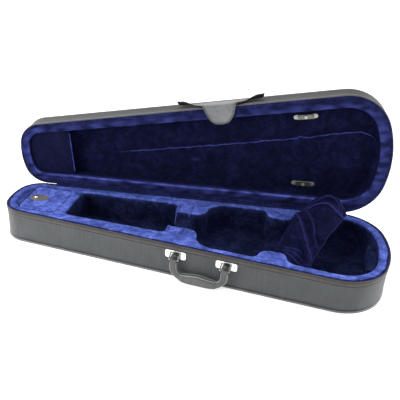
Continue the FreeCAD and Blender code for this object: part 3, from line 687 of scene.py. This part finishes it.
def rim_ring(z0, z1):
    """A band of padding that carries the velvet over the top of a wall."""
    lines = [outline(inset, 4)[0] for inset in (RING_OUTER, RING_INNER)]
    n = min(map(len, lines))
    a, b = (line[np.linspace(0, len(line) - 1, n).astype(int)] for line in lines)
    rows = [np.c_[line, np.full(n, z)] for line, z in ((a, z1), (a, z0), (b, z0), (b, z1))]
    return np.stack(rows, 1).reshape(-1, 3), tube_faces(n, 4, closed=True)


base_lining = soft("base_lining", [node_copy(PADS), rim_ring(RING_LOW, PAD_TOP)], VELVET, 2.4, 5)


def smooth_step(x, a, b):
    t = np.clip((x - a) / (b - a), 0, 1)
    return t * t * (3 - 2 * t)


VELVET_SPAN = (-300, 272)       # the velvet strip runs past the hinge's own ends
LINING_RAISE, HINGE_DIP = 0.15, 1.3
RECESS_X, RECESS_LOW = -355, 60     # painted shade: the lining round the accessory box's end takes a dimmer copy of the velvet, without its depth shade
rumple(base_lining, 0.5, 24)
co, _ = coords(base_lining)
along, inwards = hinge_coords(co)
near_top = np.clip((co[:, 2] - 60) / 10, 0, 1)
dip = smooth_step(inwards, 9.5, 5.5) * smooth_step(along, VELVET_SPAN[0] - 8, VELVET_SPAN[0])
dip *= smooth_step(along, VELVET_SPAN[1] + 8, VELVET_SPAN[1])
co[:, 2] += near_top * (LINING_RAISE - HINGE_DIP * dip)
set_coords(base_lining, co)
base_lining.data.materials.append(VELVET_RECESS_SHADE)
for face in base_lining.data.polygons:
    x, _, z = face.center / MM
    if x < RECESS_X and z > RECESS_LOW:
        face.material_index = 1
attach(base_lining, "base", "velvet", *PADS)

cushion = soft("end_cushion", [node_copy(["end_pin_cushion"])], VELVET, 1.6, 10)
rumple(cushion, 0.7, 18, 3)
attach(cushion, "base", "velvet", "end_pin_cushion")

box_lid = soft("compartment_lid_cover", [node_copy(["compartment_lid"])], VELVET, 1, 4)
rumple(box_lid, 0.25, 14, 5)
attach(box_lid, "compartment_lid", "velvet", "compartment_lid")

BOX_X, BOX_HALF, BOX_CORNER_R = (-360.6, -278.4), 50.6, 14     # the accessory box's opening
GROOVE_Z = 70.1
STUD_X, STUD_TOP = -340.5, 74.2


def corner_arc(x, y, a0, a1):
    """Points of a rounded corner of the compartment's opening, about its centre."""
    angles = np.radians(np.linspace(a0, a1, 6))
    return [(x + BOX_CORNER_R * math.cos(a), y + BOX_CORNER_R * math.sin(a), GROOVE_Z) for a in angles]


low_x, high_x = BOX_X[0] + BOX_CORNER_R, BOX_X[1] - BOX_CORNER_R
rear_y = BOX_HALF - BOX_CORNER_R
# painted shade: dark velvet tubes along the box lid's rear and left edges and round its near-right corner
# stand for the grooves' shadow; the near and right edges get tubes of the plain velvet
LID_EDGES = [
    ("compartment_groove", VELVET_SHADE, 1.5, corner_arc(high_x, rear_y, 70, 90)
     + corner_arc(low_x, rear_y, 90, 180) + corner_arc(low_x, -rear_y, 180, 215)),
    ("compartment_near_groove", VELVET_SHADE, 1.1, corner_arc(high_x, -rear_y, 262, 330)),
    ("compartment_near_edge", VELVET, 1.1, corner_arc(low_x, -rear_y, 235, 270)
     + [(high_x - 3, -BOX_HALF, GROOVE_Z)]),
    ("compartment_side_edge", VELVET, 1.1, [(BOX_X[1], y, GROOVE_Z) for y in (4 - rear_y, 0, rear_y - 3)]
     + corner_arc(high_x, rear_y, 5, 60)),
]
for name, material, radius, points in LID_EDGES:
    line, _ = curve_points(points, 90)
    frames = [(o, (t[1], -t[0], 0), (0, 0, 1)) for o, t in zip(line, directions(line))]
    attach(mesh_object(name, *swept(frames, circle_section(radius, 0.9, 8)), material), "base", "velvet")

HEAD_PROFILE = [(-1, 2.4), (0.5, 2.4), (1.2, 1.8), (1.5, 0.8)]      # above the stud's top, radius
head = [((STUD_X, 0, STUD_TOP + z), (r, 0, 0), (0, r, 0)) for z, r in HEAD_PROFILE]
stud_head = mesh_object("pull_stud_head", *swept(head, circle_section(1, 1, 18)), STUD_HEAD)
attach(stud_head, "compartment_lid", "pull_stud")

# ---- velvet inside the lid ----

ring_points, ring_faces = rim_ring(BASE_HEIGHT + RIM_GAP, RING_HIGH)
lid_parts = [node_copy(LID_PADS), (moved(ring_points, OPEN), ring_faces)]
lid_lining = soft("lid_lining", lid_parts, VELVET_LID, 2.6, 5)
rumple(lid_lining, 0.45, 30, 7)
attach(lid_lining, "lid", "velvet", *LID_PADS)

# the pocket takes the near-black velvet copy: painted shade inside it
pocket = soft("bow_pocket", [node_copy(["bow_tip_pocket"])], VELVET_POCKET_SHADE, 1.4, 4)
attach(pocket, "lid", "velvet", "bow_tip_pocket")

# ---- the fold along the lid's floor, and the pocket's hem ----

LID_FOLD = [(-182, 8), (-150, 5), (-117, 2), (-60, -3), (-6, -7), (50, -12), (102, -17), (150, -22),
            (196, -26), (208, -30), (220, -28), (250, -33), (290, -38), (318, -41), (340, -39),
            (356, -31), (366, -20)]
FOLD_RISE, FOLD_REACH = 2.6, 34   # how far the floor lifts beside the fold, and how soon that fades
TUFT = (-17, 24)                # a crushed spot on the lid's floor
fold_line, _ = curve_points(LID_FOLD, 220)
fold_ahead = directions(fold_line)


def fold_side(p):
    """How far closed-lid points lie from the fold, positive towards the hinge; and where along it."""
    d = p[:, None, :2] - fold_line[None]
    k = np.linalg.norm(d, axis=2).argmin(1)
    t = fold_ahead[k]
    rel = d[np.arange(len(p)), k]
    return t[:, 0] * rel[:, 1] - t[:, 1] * rel[:, 0], k


co, _ = coords(lid_lining)
local = moved(co, OPEN.inverted())
on_floor = (local[:, 2] > LID_FLOOR_Z - 4) & (local[:, 2] < LID_FLOOR_Z + 2)
side, where = fold_side(local)
rise = np.where(on_floor, FOLD_RISE * np.exp(-np.clip(side, 0, None) / FOLD_REACH) * (side > -0.5), 0)
rise *= np.clip(np.minimum(where / 30, (len(fold_line) - where) / 14), 0, 1)
front_dir = np.array(OPEN.to_3x3()) @ np.array([0, 0, -1])
set_coords(lid_lining, co + rise[:, None] * front_dir)
edge_points, _ = outline(0, 4)
tree_2d = kdtree.KDTree(len(edge_points))
for k, (x, y) in enumerate(edge_points):
    tree_2d.insert((x, y, 0), k)
tree_2d.balance()
inset = np.array([tree_2d.find((x, y, 0))[2] for x, y in local[:, :2]])
x, y, z = local.T
# painted highlight: the lid's rim velvet is lighter towards its inner edge and at both ends, where light
# catches it, in random patches; the tuft is a crushed spot
pad_width = np.interp(x, [-395, 395], [20, 27])
on_rim = 1 - smooth_step(z, 75, 80)
towards_edge = smooth_step(inset, pad_width - 17, pad_width - 5)
ends = 0.22 * smooth_step(x, 280, 365) + 0.13 * smooth_step(-x, 330, 375)
patchy = np.array([noise.noise(Vector((a / 26, b / 11, 3))) for a, b in local[:, :2]])
lit = on_rim * (0.04 + 0.36 * towards_edge + 1.3 * ends) * np.clip(1 + 2.4 * patchy, 0.1, 3)
tuft = np.exp(-((x - TUFT[0]) / 10) ** 2 - ((y - TUFT[1]) / 3.2) ** 2) * on_floor
set_crush_and_highlight(lid_lining, np.clip(lit + 0.7 * tuft, 0, 1))

frames = []
for i, ((x, y), (a, b)) in enumerate(zip(fold_line, fold_ahead)):
    fade = min(1, i / 24, (len(fold_line) - 1 - i) / 12)
    wave = 0.5 * math.sin(i * 0.55) + 0.4 * math.sin(i * 0.23 + 1)
    sag = 0.25 + fade * (FOLD_RISE + 0.35 * wave)
    frames.append(((x, y + 0.9 * wave, LID_FLOOR_Z - sag), np.array([-b, a, 0]) * (0.25 + 0.75 * fade),
                   (0, 0, 0.3 + 0.7 * fade)))
hem_line = [((-284, y, 81.6), (1, 0, 0), (0, 0, 1)) for y in np.linspace(-44, 44, 40)]
# both take the lighter velvet copy: painted highlight along the fold and the hem
for name, path, section in (("lid_lining_fold", frames, circle_section(1.5, 1.6, 10)),
                            ("pocket_hem", hem_line, circle_section(1.3, 1, 8))):
    attach(mesh_object(name, *swept(path, section), VELVET_FOLD_HIGHLIGHT, OPEN), "lid", "velvet")

# ---- the loose velvet band ----

BAND_NET = [    # rows from the rear rim down to the front, each across the band
    [(212, 98, 62), (235, 101, 62), (258, 103, 62), (281, 104, 62), (303, 105, 62)],
    [(213, 95, 78), (236, 97, 90), (259, 98, 99), (281, 98, 96), (302, 97, 80)],
    [(215, 89, 88), (240, 92, 113), (264, 93, 129), (288, 93, 120), (308, 92, 90)],
    [(215, 79, 87), (234, 80, 109), (256, 80, 117), (284, 82, 112), (308, 85, 90)],
    [(207, 58, 88), (225, 59, 99), (247, 60, 105), (273, 60, 101), (299, 62, 87)],
    [(199, 33, 83), (217, 32, 90), (236, 33, 91), (259, 33, 89), (287, 33, 84)],
    [(190, 5, 79), (207, 4, 83), (225, 5, 85), (250, 4, 80), (275, 8, 80)],
    [(183, -22, 73), (205, -22, 77), (230, -22, 80), (250, -24, 75), (267, -18, 77)],
    [(177, -46, 67), (203, -49, 71), (236, -52, 75), (247, -52, 73), (257, -46, 74)],
    [(174, -60, 62), (200, -72, 65), (232, -83, 68), (240, -82, 68), (248, -76, 69)],
    [(173, -66, 52), (196, -84, 54), (222, -99, 56), (233, -101, 57), (243, -101, 58)],
]
BAND_ROWS, BAND_COLS, BAND_THICK = 220, 84, 1.3


def net_surface(net, rows, cols):
    across = [curve_points(row, cols)[0] for row in net]
    return np.stack([curve_points([row[j] for row in across], rows)[0] for j in range(cols)], 1)


def crease(pos, centre, width):
    """A soft ridge with one steeper flank, from 0 to 1."""
    d = (pos - centre) / width
    return np.exp(-np.where(d > 0, d * 1.6, d) ** 2)


def between(x, a, b, c, d):
    """0 outside (a, d), 1 inside (b, c)."""
    return smooth_step(x, a, b) * (1 - smooth_step(x, c, d))


band = net_surface(BAND_NET, BAND_ROWS, BAND_COLS)
v, u = np.meshgrid(np.linspace(0, 10, BAND_ROWS), np.linspace(0, 1, BAND_COLS), indexing="ij")
# two long creases down the band, an arch across it, and gathers at both ends
first = np.interp(v, [2.8, 3.4, 4.4, 5.6, 7.3, 8.2, 9.1], [0, 0.04, 0.16, 0.29, 0.53, 0.75, 0.95])
second = np.interp(v, [3, 3.6, 5.15, 6.2, 7.07, 7.4], [0.14, 0.22, 0.457, 0.634, 0.816, 0.93])
front_part = between(v, 2.7, 3.4, 8.6, 9.9)
side_part = between(v, 2.7, 3.4, 6.8, 7.7)
arch = 3 + 0.25 * np.cos(math.pi * (u - 0.5)) - 0.55 * smooth_step(u, 0.65, 1)
bow = 0.10 * np.cos(2 * math.pi * (u - 0.5))
lift = 6.5 * crease(u, first, 0.075) * front_part + 4.4 * crease(u, second, 0.055) * side_part
lift -= 2.4 * crease(u, first - 0.11, 0.06) * front_part + 1.6 * crease(u, second + 0.10, 0.05) * side_part
lift += 2.6 * crease(v, arch, 0.16) - 2.4 * crease(v, arch - 0.42, 0.2)
# painted highlight: the pile is lighter along the crests of the creases, the arch and the gathers, and along
# the band's edges
fading = 1 - 0.45 * smooth_step(v, 5.5, 8.5)
crush_and_highlight = (0.75 * crease(u, first, 0.013) * front_part + 0.42 * crease(u, second, 0.010) * side_part) * fading
crush_and_highlight = np.maximum(crush_and_highlight, 0.8 * crease(v, arch, 0.075) * between(u, 0, 0.04, 0.96, 1))
for k, place_v in enumerate((2.55, 2.2, 1.85, 1.45)):
    line = place_v + bow + 0.06 * np.sin(7 * u + 2 * k)
    lift += 1.7 * crease(v, line, 0.10) * between(u, 0.02, 0.2, 0.8, 0.98)
    crush_and_highlight = np.maximum(crush_and_highlight, 0.6 * crease(v, line, 0.05) * between(u, 0.03, 0.12, 0.9, 1))
for k, place_v in enumerate((8.1, 8.5, 8.85, 9.2)):
    line = place_v + 0.8 * u + 0.10 * np.sin(9 * u + k)
    reach = between(u, 0.10 + 0.06 * k, 0.22 + 0.06 * k, 0.5 + 0.07 * k, 0.68 + 0.06 * k)
    lift += 2 * crease(v, line, 0.10) * reach
    crush_and_highlight = np.maximum(crush_and_highlight, 0.55 * crease(v, line, 0.05) * reach)
from_side = np.minimum(u, 1 - u)
crush_and_highlight = np.maximum(crush_and_highlight, 0.45 * np.exp(-(from_side / 0.012) ** 2) * between(v, 0.8, 1.6, 9.4, 10))
normal = np.cross(np.gradient(band, axis=1), np.gradient(band, axis=0))
normal /= np.linalg.norm(normal, axis=2)[:, :, None]
normal *= np.sign(normal[BAND_ROWS // 2, BAND_COLS // 2, 2])
band = band + normal * lift[:, :, None]
band_faces = grid_faces(BAND_ROWS, BAND_COLS)
band_obj = mesh_object("velvet_band_cloth", band.reshape(-1, 3), band_faces, VELVET_BAND)
set_crush_and_highlight(band_obj, crush_and_highlight.ravel())
modifier(band_obj, "SOLIDIFY", thickness=BAND_THICK * MM, offset=0)
modifier(band_obj, "SMOOTH", factor=0.5, iterations=2)
bake(band_obj)
attach(band_obj, "base", "band_velvet", "velvet_band")
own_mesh(band_obj)

# ---- zip teeth, seams and stitches round both shells ----

SEAM_Z, STITCH_Z, LOW_STITCH_Z, COIL_Z = 12.6, 14.6, 9.6, 1.3      # from the meeting plane
TOOTH_PITCH, STITCH_PITCH = 1.75, 3.4
TOOTH = pill(1.25, 1.9, 1.5, 5, 6)
THREAD = pill(2.3, 0.7, 0.55, 4, 5)
for shell, sign, place, cloth in (("base", -1, None, NYLON_BASE), ("lid", 1, OPEN, NYLON_LID)):
    teeth = copies(TOOTH, outline_frames(0.1, BASE_HEIGHT + sign * COIL_Z, TOOTH_PITCH, clear_of_hinge))
    attach(mesh_object(shell + "_zip_teeth", *teeth, COIL, place), shell, "zip_coil", shell + "_zip_coil")
    seam = [(o, out, up) for o, _, out, up in outline_frames(1, BASE_HEIGHT + sign * SEAM_Z, 3)]
    welt = swept(seam, circle_section(0.9, 1.25, 8), True)
    attach(mesh_object(shell + "_wall_welt", *welt, cloth, place), shell, "nylon")
    rows = (outline_frames(0.85, BASE_HEIGHT + sign * STITCH_Z, STITCH_PITCH)
            + outline_frames(0.15, BASE_HEIGHT + sign * LOW_STITCH_Z, STITCH_PITCH, clear_of_hinge))
    attach(mesh_object(shell + "_stitching", *copies(THREAD, rows), STITCH, place), shell, "nylon")

# ---- fabric hinge outside, velvet strip inside ----


def hinge_strip(name, path, thick, material, nodes, span=(-HINGE_HALF, HINGE_HALF)):
    """A strip along the hinge line: path is (outwards, z) with the lid open."""
    line, width = curve_points(path, 26)
    tangent = directions(line)
    normals = np.stack([tangent[:, 1], -tangent[:, 0]], 1)
    loop = np.concatenate([line + normals * thick / 2, (line - normals * thick / 2)[::-1]])
    stations = [((x, 0, 0), (0, 1, 0), (0, 0, 1)) for x in np.linspace(*span, 70)]
    place = side_matrix(HINGE_X, False)
    obj = mesh_object(name, *swept(stations, [tuple(q) for q in loop]), material, place)
    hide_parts(*nodes)
    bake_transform(obj)


hinge_strip("hinge_fabric", [(-0.5, 60.4), (-0.45, 66), (-0.3, 69.6), (0.35, 71.4), (2.2, 72.1),
                             (6, 72.25), (11.6, 72.3)], 0.7, TAPE_HINGE,
            ["base_hinge_tape", "lid_hinge_tape"])
# the velvet strip inside takes the dark velvet copy: painted shade along the hinge
hinge_strip("hinge_velvet", [(-7.5, 70.3), (-6.6, 71.1), (-5, 71.35), (-2.6, 71.4), (-1, 71.5),
                             (-0.3, 71.9), (0, 72.7), (0.05, 74.6), (0.1, 77.4), (1.6, 78.8)], 0.45,
            VELVET_SHADE, [], VELVET_SPAN)

# ---- rolled velvet edges where the neck lies on the saddle ----

SADDLE_X = (-41, -13.2)
SADDLE_ROLL = [(22, 44.5), (27.5, 50.5), (30.6, 58), (31, 65), (32, 69.5), (36, 71.9),
               (44, 72.3), (52, 72.2), (58, 71.4)]
rolls = []
for x in SADDLE_X:
    for side in (1, -1):
        path, _ = curve_points([(x, side * y, z) for y, z in SADDLE_ROLL], 60)
        frames = [(o, (1, 0, 0), np.cross(t, (1, 0, 0))) for o, t in zip(path, directions(path))]
        rolls.append(swept(frames, circle_section(2, 1.7, 10)))
# the rolls take the lighter velvet copy: painted highlight along the saddle's edges
roll = mesh_object("saddle_rolls", *joined(rolls), VELVET_ROLL_HIGHLIGHT)
rumple(roll, 0.35, 9, 2)
attach(roll, "base", "velvet")

# ---- leatherette flap: wings on the lid's wall, tongue over the rim ----

# (outwards, z) in the shut lid's place, with the tongue held as at rest: from its tip up the wall
FLAP_PATH = [(-36.1, 68.5), (-22, 68.5), (-8, 68.5), (2.6, 68.6), (5.3, 69.6), (6.3, 72), (6.1, 75),
             (4.9, 80), (3.2, 86), (2.2, 92), (2, 99), (2, 106.7)]
# (along from the middle, along the path): the lower edge, and the top's share of the path
FLAP_LOWER = [(0, 0), (8, 0.9), (15, 3.6), (21, 8.8), (25, 15.2), (29, 24), (32.5, 34.2), (36, 44),
              (42, 50), (52, 55), (62, 58.5), (74, 62), (84, 64.5), (89, 67), (92, 71.5)]
FLAP_TOP = [(0, 1), (80, 1), (86, 0.985), (90, 0.95), (92, 0.9)]
FLAP_HALF, FLAP_THICK, FLAP_HEM = 92, 2.2, 3.6
STITCH_INSET, GROOVE_DEPTH = 4.2, 0.55
WING_LIFT, WING_CURL = 11, 14   # the wings' lower edges curl off the wall
flap_line, flap_length = curve_points(FLAP_PATH, 400)
flap_lower, _ = curve_points(FLAP_LOWER, 200)
flap_tangent = directions(flap_line)


def flap_span(x):
    """Where along its path the flap's lower and upper edges lie."""
    low = float(np.interp(abs(x), flap_lower[:, 0], flap_lower[:, 1]))
    return low, float(np.interp(abs(x), *zip(*FLAP_TOP))) * flap_length


def on_flap(x, s, off):
    """A point of the flap, along the side, along the path from the tongue's tip and off its middle;
    and the directions off it and along the path."""
    i = np.clip(s / flap_length, 0, 1) * (len(flap_line) - 1)
    known = np.arange(len(flap_line))
    o, z, a, b = (np.interp(i, known, column) for column in (*flap_line.T, *flap_tangent.T))
    k = math.hypot(a, b)
    return (x, o + off * b / k, z - off * a / k), (0, b / k, -a / k), (0, a / k, b / k)


edge = [(x, flap_span(x)[0]) for x in np.linspace(-FLAP_HALF, FLAP_HALF, 260)]
edge += [(x, flap_span(x)[1]) for x in np.linspace(FLAP_HALF, -FLAP_HALF, 120)]
edge = np.array(edge)
steep = np.linspace(12, 44, 34)     # more stations where the lower edge is steep
stations = sorted(set(np.round([*np.linspace(-FLAP_HALF, FLAP_HALF, 70), *steep, *-steep], 3)))
rows, cols = len(stations), 40
top, bottom, from_edge = [], [], []
for x in stations:
    low, high = flap_span(x)
    wing = float(smooth_step(abs(x), 44, 80))
    for k in range(cols):
        s = low + (high - low) * k / (cols - 1)
        d = float(np.min(np.hypot(edge[:, 0] - x, edge[:, 1] - s)))
        t = FLAP_THICK / 2 * math.sqrt(max(0, 1 - max(0, 1 - d / 1.6) ** 2))
        groove = GROOVE_DEPTH * math.exp(-((d - STITCH_INSET) / 0.9) ** 2)
        raised = WING_LIFT * wing * max(0, 1 - (s - low) / WING_CURL) ** 1.3
        from_edge.append(d)
        top.append(on_flap(x, s, t - groove + raised)[0])
        bottom.append(on_flap(x, s, raised - t)[0])
n = rows * cols
faces = grid_faces(rows, cols) + [f[::-1] for f in grid_faces(rows, cols, offset=n)]
rim = list(range(cols)) + [i * cols + cols - 1 for i in range(1, rows)]
rim += list(range(n - 2, n - cols - 1, -1)) + [i * cols for i in range(rows - 2, 0, -1)]
faces += [[a, b, n + b, n + a] for a, b in zip(rim, rim[1:] + rim[:1])]
flap_place = OPEN @ side_matrix(FLAP_X, True)
flap = mesh_object("leather_flap", top + bottom, faces, FLAP_LEATHER, flap_place)
flap.data.materials.append(FLAP_UNDERSIDE_SHADE)
flap.data.materials.append(FLAP_BORDER)
# the underside's faces take the near-black copy: painted shade under the wings; faces near the edge take the
# border
for face in flap.data.polygons:
    if min(face.vertices) >= n:
        face.material_index = 1
    elif np.mean([from_edge[i % n] for i in face.vertices]) < FLAP_HEM:
        face.material_index = 2


def inner_border(distance, step):
    """Points a set distance inside the flap's edge, with directions, for a row of stitches."""
    closed = np.vstack([edge, edge[:1]])
    s = arc_lengths(closed)
    p = sampled(np.arange(0, s[-1], 1), s, closed)
    t = np.roll(p, -3, 0) - np.roll(p, 3, 0)
    t /= np.linalg.norm(t, axis=1)[:, None]
    q = p + np.stack([-t[:, 1], t[:, 0]], 1) * distance
    out = []
    for a, b in zip(q, t):
        inside = np.min(np.hypot(*(edge - a).T)) > distance * 0.9
        if inside and (not out or np.hypot(*(a - out[-1][0])) >= step):
            out.append((a, b))
    return out


frames = []
for (x, s), (a, b) in inner_border(STITCH_INSET, 3.6):
    o, off, ahead = on_flap(x, s, FLAP_THICK / 2 - 0.35)
    along = np.array([a, 0, 0]) + b * np.array(ahead)
    frames.append((o, along, np.cross(off, along), off))
threads = copies(pill(2.7, 0.8, 0.7, 4, 5), frames)
flap_stitch = mesh_object("flap_stitching", *threads, DARK_STITCH, flap_place)
for obj in (flap, flap_stitch):
    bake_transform(obj)
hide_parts("flap_panel", "flap_tongue")

# ---- leatherette handle ----

# (along, z) down one strap and along the grip towards its middle
HALF_HANDLE = [(50.5, 44.5), (50.5, 36), (50.3, 28), (47.6, 20.6), (42, 14.6), (33.5, 11), (18, 10.6)]
HANDLE_LINE = [(-x, z) for x, z in HALF_HANDLE] + [(0, 11.6)] + HALF_HANDLE[::-1]
STRAP_X, EYE_HALF, EYE_R = 50.5, 6.6, 3.5    # the straps' ends wrap the loops
line, _ = curve_points(HANDLE_LINE, 150)
tangent = directions(line)
side_dir = np.stack([tangent[:, 1], -tangent[:, 0]], 1)


def handle_size(x, z):
    """Half width in the handle's plane and half thickness out of it."""
    grip = float(smooth_step(39 - abs(x), 0, 8)) * (z < 20)
    belly = math.cos(math.pi / 2 * min(1, abs(x) / 40))
    wide = 6.6 - 0.9 * max(0, 1 - abs(z - 17) / 9) + grip * (0.4 + 3.6 * belly)
    thick = 2.6 + grip * (2.2 + 1.7 * belly)
    return wide, thick


SQUARENESS = 0.72
SQUIRCLE = [[math.copysign(abs(c) ** SQUARENESS, c) for c in point] for point in circle_section(1, 1, 28)]
verts = []
for (x, z), (a, b) in zip(line, side_dir):
    w, t = handle_size(x, z)
    verts += [(x + a * w * p, BAR_OUT + t * q, z + b * w * p) for p, q in SQUIRCLE]
parts = [(verts, tube_faces(len(line), len(SQUIRCLE)))]
# (outwards, z) round a strap's end, folded up over its loop
END_FOLD = np.array([(BAR_OUT + 2.2, 50.2), (9, 52.8), (5, 55.2), (3.7, 54.8), (3.6, 51.5), (3.8, 48.8),
                     (6, 47.4), (BAR_OUT, 47.4), (BAR_OUT + 2.6, 48.4)])
FOLD_CENTRE = np.array([8.5, 48.5])
narrow = 1 - 0.022 * np.clip(END_FOLD[:, 1] - 47, 0, None)
ends = []
for strap in (-STRAP_X, STRAP_X):
    eye = []
    for dx in np.linspace(-EYE_HALF, EYE_HALF, 12):
        r = EYE_R * math.sqrt(1 - max(0, abs(dx) - 5.2) ** 2 / 5)
        eye.append(((strap + dx, BAR_OUT, BAR_Z), (0, r, 0), (0, 0, r)))
    parts.append(swept(eye, circle_section(1, 1, 20)))
    points = [np.c_[strap + across * narrow, FOLD_CENTRE + (END_FOLD - FOLD_CENTRE) * share]
              for across, share in ((-7.2, 0.82), (-6.4, 1), (6.4, 1), (7.2, 0.82))]
    ends.append((np.concatenate(points), tube_faces(4, len(END_FOLD))))
handle_place = side_matrix(HANDLE_X, True)
# the folded ends take the near-black leatherette copy: painted shade in the loops
end_folds = mesh_object("handle_end_folds", *joined(ends), LEATHER_SHADE, handle_place)
attach(end_folds, "handle", "leatherette")
handle = mesh_object("handle_leather", *joined(parts), LEATHER, handle_place)
attach(handle, "handle", "leatherette", "handle_cover", "handle_core")

edge_rolls, threads = [], []
for sign in (-1, 1):
    for face in (-1, 1):
        path = []
        for k in range(4, len(line) - 4):
            (x, z), (a, b), (tx, tz) = line[k], side_dir[k], tangent[k]
            w, t = handle_size(x, z)
            path.append(((x + a * sign * w * 0.93, BAR_OUT + face * t * 0.62, z + b * sign * w * 0.93),
                         (a, 0, b), (0, 1, 0)))
            if k % 3 == 0:
                q = w - 2.6
                h = t * (1 - abs(q / w) ** (2 / SQUARENESS)) ** (SQUARENESS / 2)
                threads.append(((x + a * sign * q, BAR_OUT + face * (h + 0.05), z + b * sign * q),
                                (tx, 0, tz), (-tz, 0, tx), (0, 1, 0)))
        edge_rolls.append(swept(path, circle_section(0.75, 0.75, 8)))
# the edge rolls take the light leatherette copy: painted highlight along the handle's edges
for name, shape, material in (("handle_edges", joined(edge_rolls), LEATHER_EDGE_HIGHLIGHT),
                              ("handle_stitching", copies(pill(2.1, 0.6, 0.5, 4, 5), threads), DARK_STITCH)):
    attach(mesh_object(name, *shape, material, handle_place), "handle", "leatherette")

# ---- camera, floor and light ----

TARGET = Vector((18.8, 23.9, 100))
AZIMUTH, ELEVATION, ROLL = math.radians(9.6), math.radians(28.04), math.radians(3.92)
DISTANCE = 1192.9
back = Vector((math.sin(AZIMUTH) * math.cos(ELEVATION), -math.cos(AZIMUTH) * math.cos(ELEVATION),
               math.sin(ELEVATION)))
right = Vector((0, 0, 1)).cross(back).normalized()
up = back.cross(right)
right, up = (right * math.cos(ROLL) + up * math.sin(ROLL), up * math.cos(ROLL) - right * math.sin(ROLL))
camera = bpy.data.objects.new("camera", bpy.data.cameras.new("camera"))
camera.data.lens = 52.3
camera.data.sensor_width = 36
camera.data.shift_x = -0.0118
camera.data.shift_y = 0.01155
rotation = Matrix((right, up, back)).transposed()
camera.matrix_world = Matrix.Translation((TARGET + back * DISTANCE) * MM) @ rotation.to_4x4()
bpy.context.scene.collection.objects.link(camera)
bpy.context.scene.camera = camera

FLOOR_HALF = 6000
floor_points = [(x * FLOOR_HALF, y * FLOOR_HALF, 0) for x, y in ((-1, -1), (1, -1), (1, 1), (-1, 1))]
white, _, floor_bsdf = new_material("floor")
set_inputs(floor_bsdf, {"Base Color": (0.9, 0.9, 0.9, 1), "Emission Color": (1, 1, 1, 1),
                        "Emission Strength": 0.5, "Roughness": 0.9})
floor = mesh_object("floor", floor_points, [[0, 1, 2, 3]], white, smooth=False)
floor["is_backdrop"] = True

bpy.context.scene.view_settings.view_transform = "Standard"

# a light tent: bright at both sides, dimmer behind the camera
world = bpy.data.worlds.new("world")
bpy.context.scene.world = world
world.use_nodes = True
tree = world.node_tree
sep = tree.nodes.new("ShaderNodeSeparateXYZ")
tree.links.new(tex_coord(tree, "Generated"), sep.inputs[0])
TENT_FRONT, TENT_BACK, TENT_SIDES, TENT_LEFT, TENT_TOP = 0.12, 0.9, 1.6, 0.2, 0.3
by_depth = math_node(tree, "MULTIPLY_ADD", sep.outputs["Y"], (TENT_BACK - TENT_FRONT) / 2)
by_depth.node.inputs[2].default_value = (TENT_BACK + TENT_FRONT) / 2
to_side = math_node(tree, "POWER", math_node(tree, "ABSOLUTE", sep.outputs["X"]), 2)
others = weighted_sum(tree, (to_side, TENT_SIDES), (sep.outputs["X"], -TENT_LEFT),
                      (sep.outputs["Z"], TENT_TOP))
strength = math_node(tree, "MAXIMUM", math_node(tree, "ADD", by_depth, others), 0)
background = tree.nodes["Background"]
set_inputs(background, {"Color": (1, 1, 1, 1)})
tree.links.new(strength, background.inputs["Strength"])


def area(name, place, size, power, target=(0, 0, 0.08)):
    """A round lamp: lengths in metres, power in watts."""
    light = bpy.data.lights.new(name, "AREA")
    light.shape = "DISK"
    light.size = size
    light.energy = power
    obj = bpy.data.objects.new(name, light)
    obj.location = place
    obj.rotation_euler = (Vector(target) - Vector(place)).to_track_quat("-Z", "Y").to_euler()
    bpy.context.scene.collection.objects.link(obj)


area("top", (-0.5, 0.3, 1.9), 0.9, 12)
area("left", (-0.9, -0.8, 0.5), 0.5, 7, (-0.3, -0.1, 0.05))
area("narrow_end", (-1.15, 0.15, 0.2), 0.4, 5.5, (-0.39, 0, 0.04))
area("wide_end", (1.15, 0.2, 0.2), 0.4, 9, (0.39, 0, 0.04))

low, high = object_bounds()
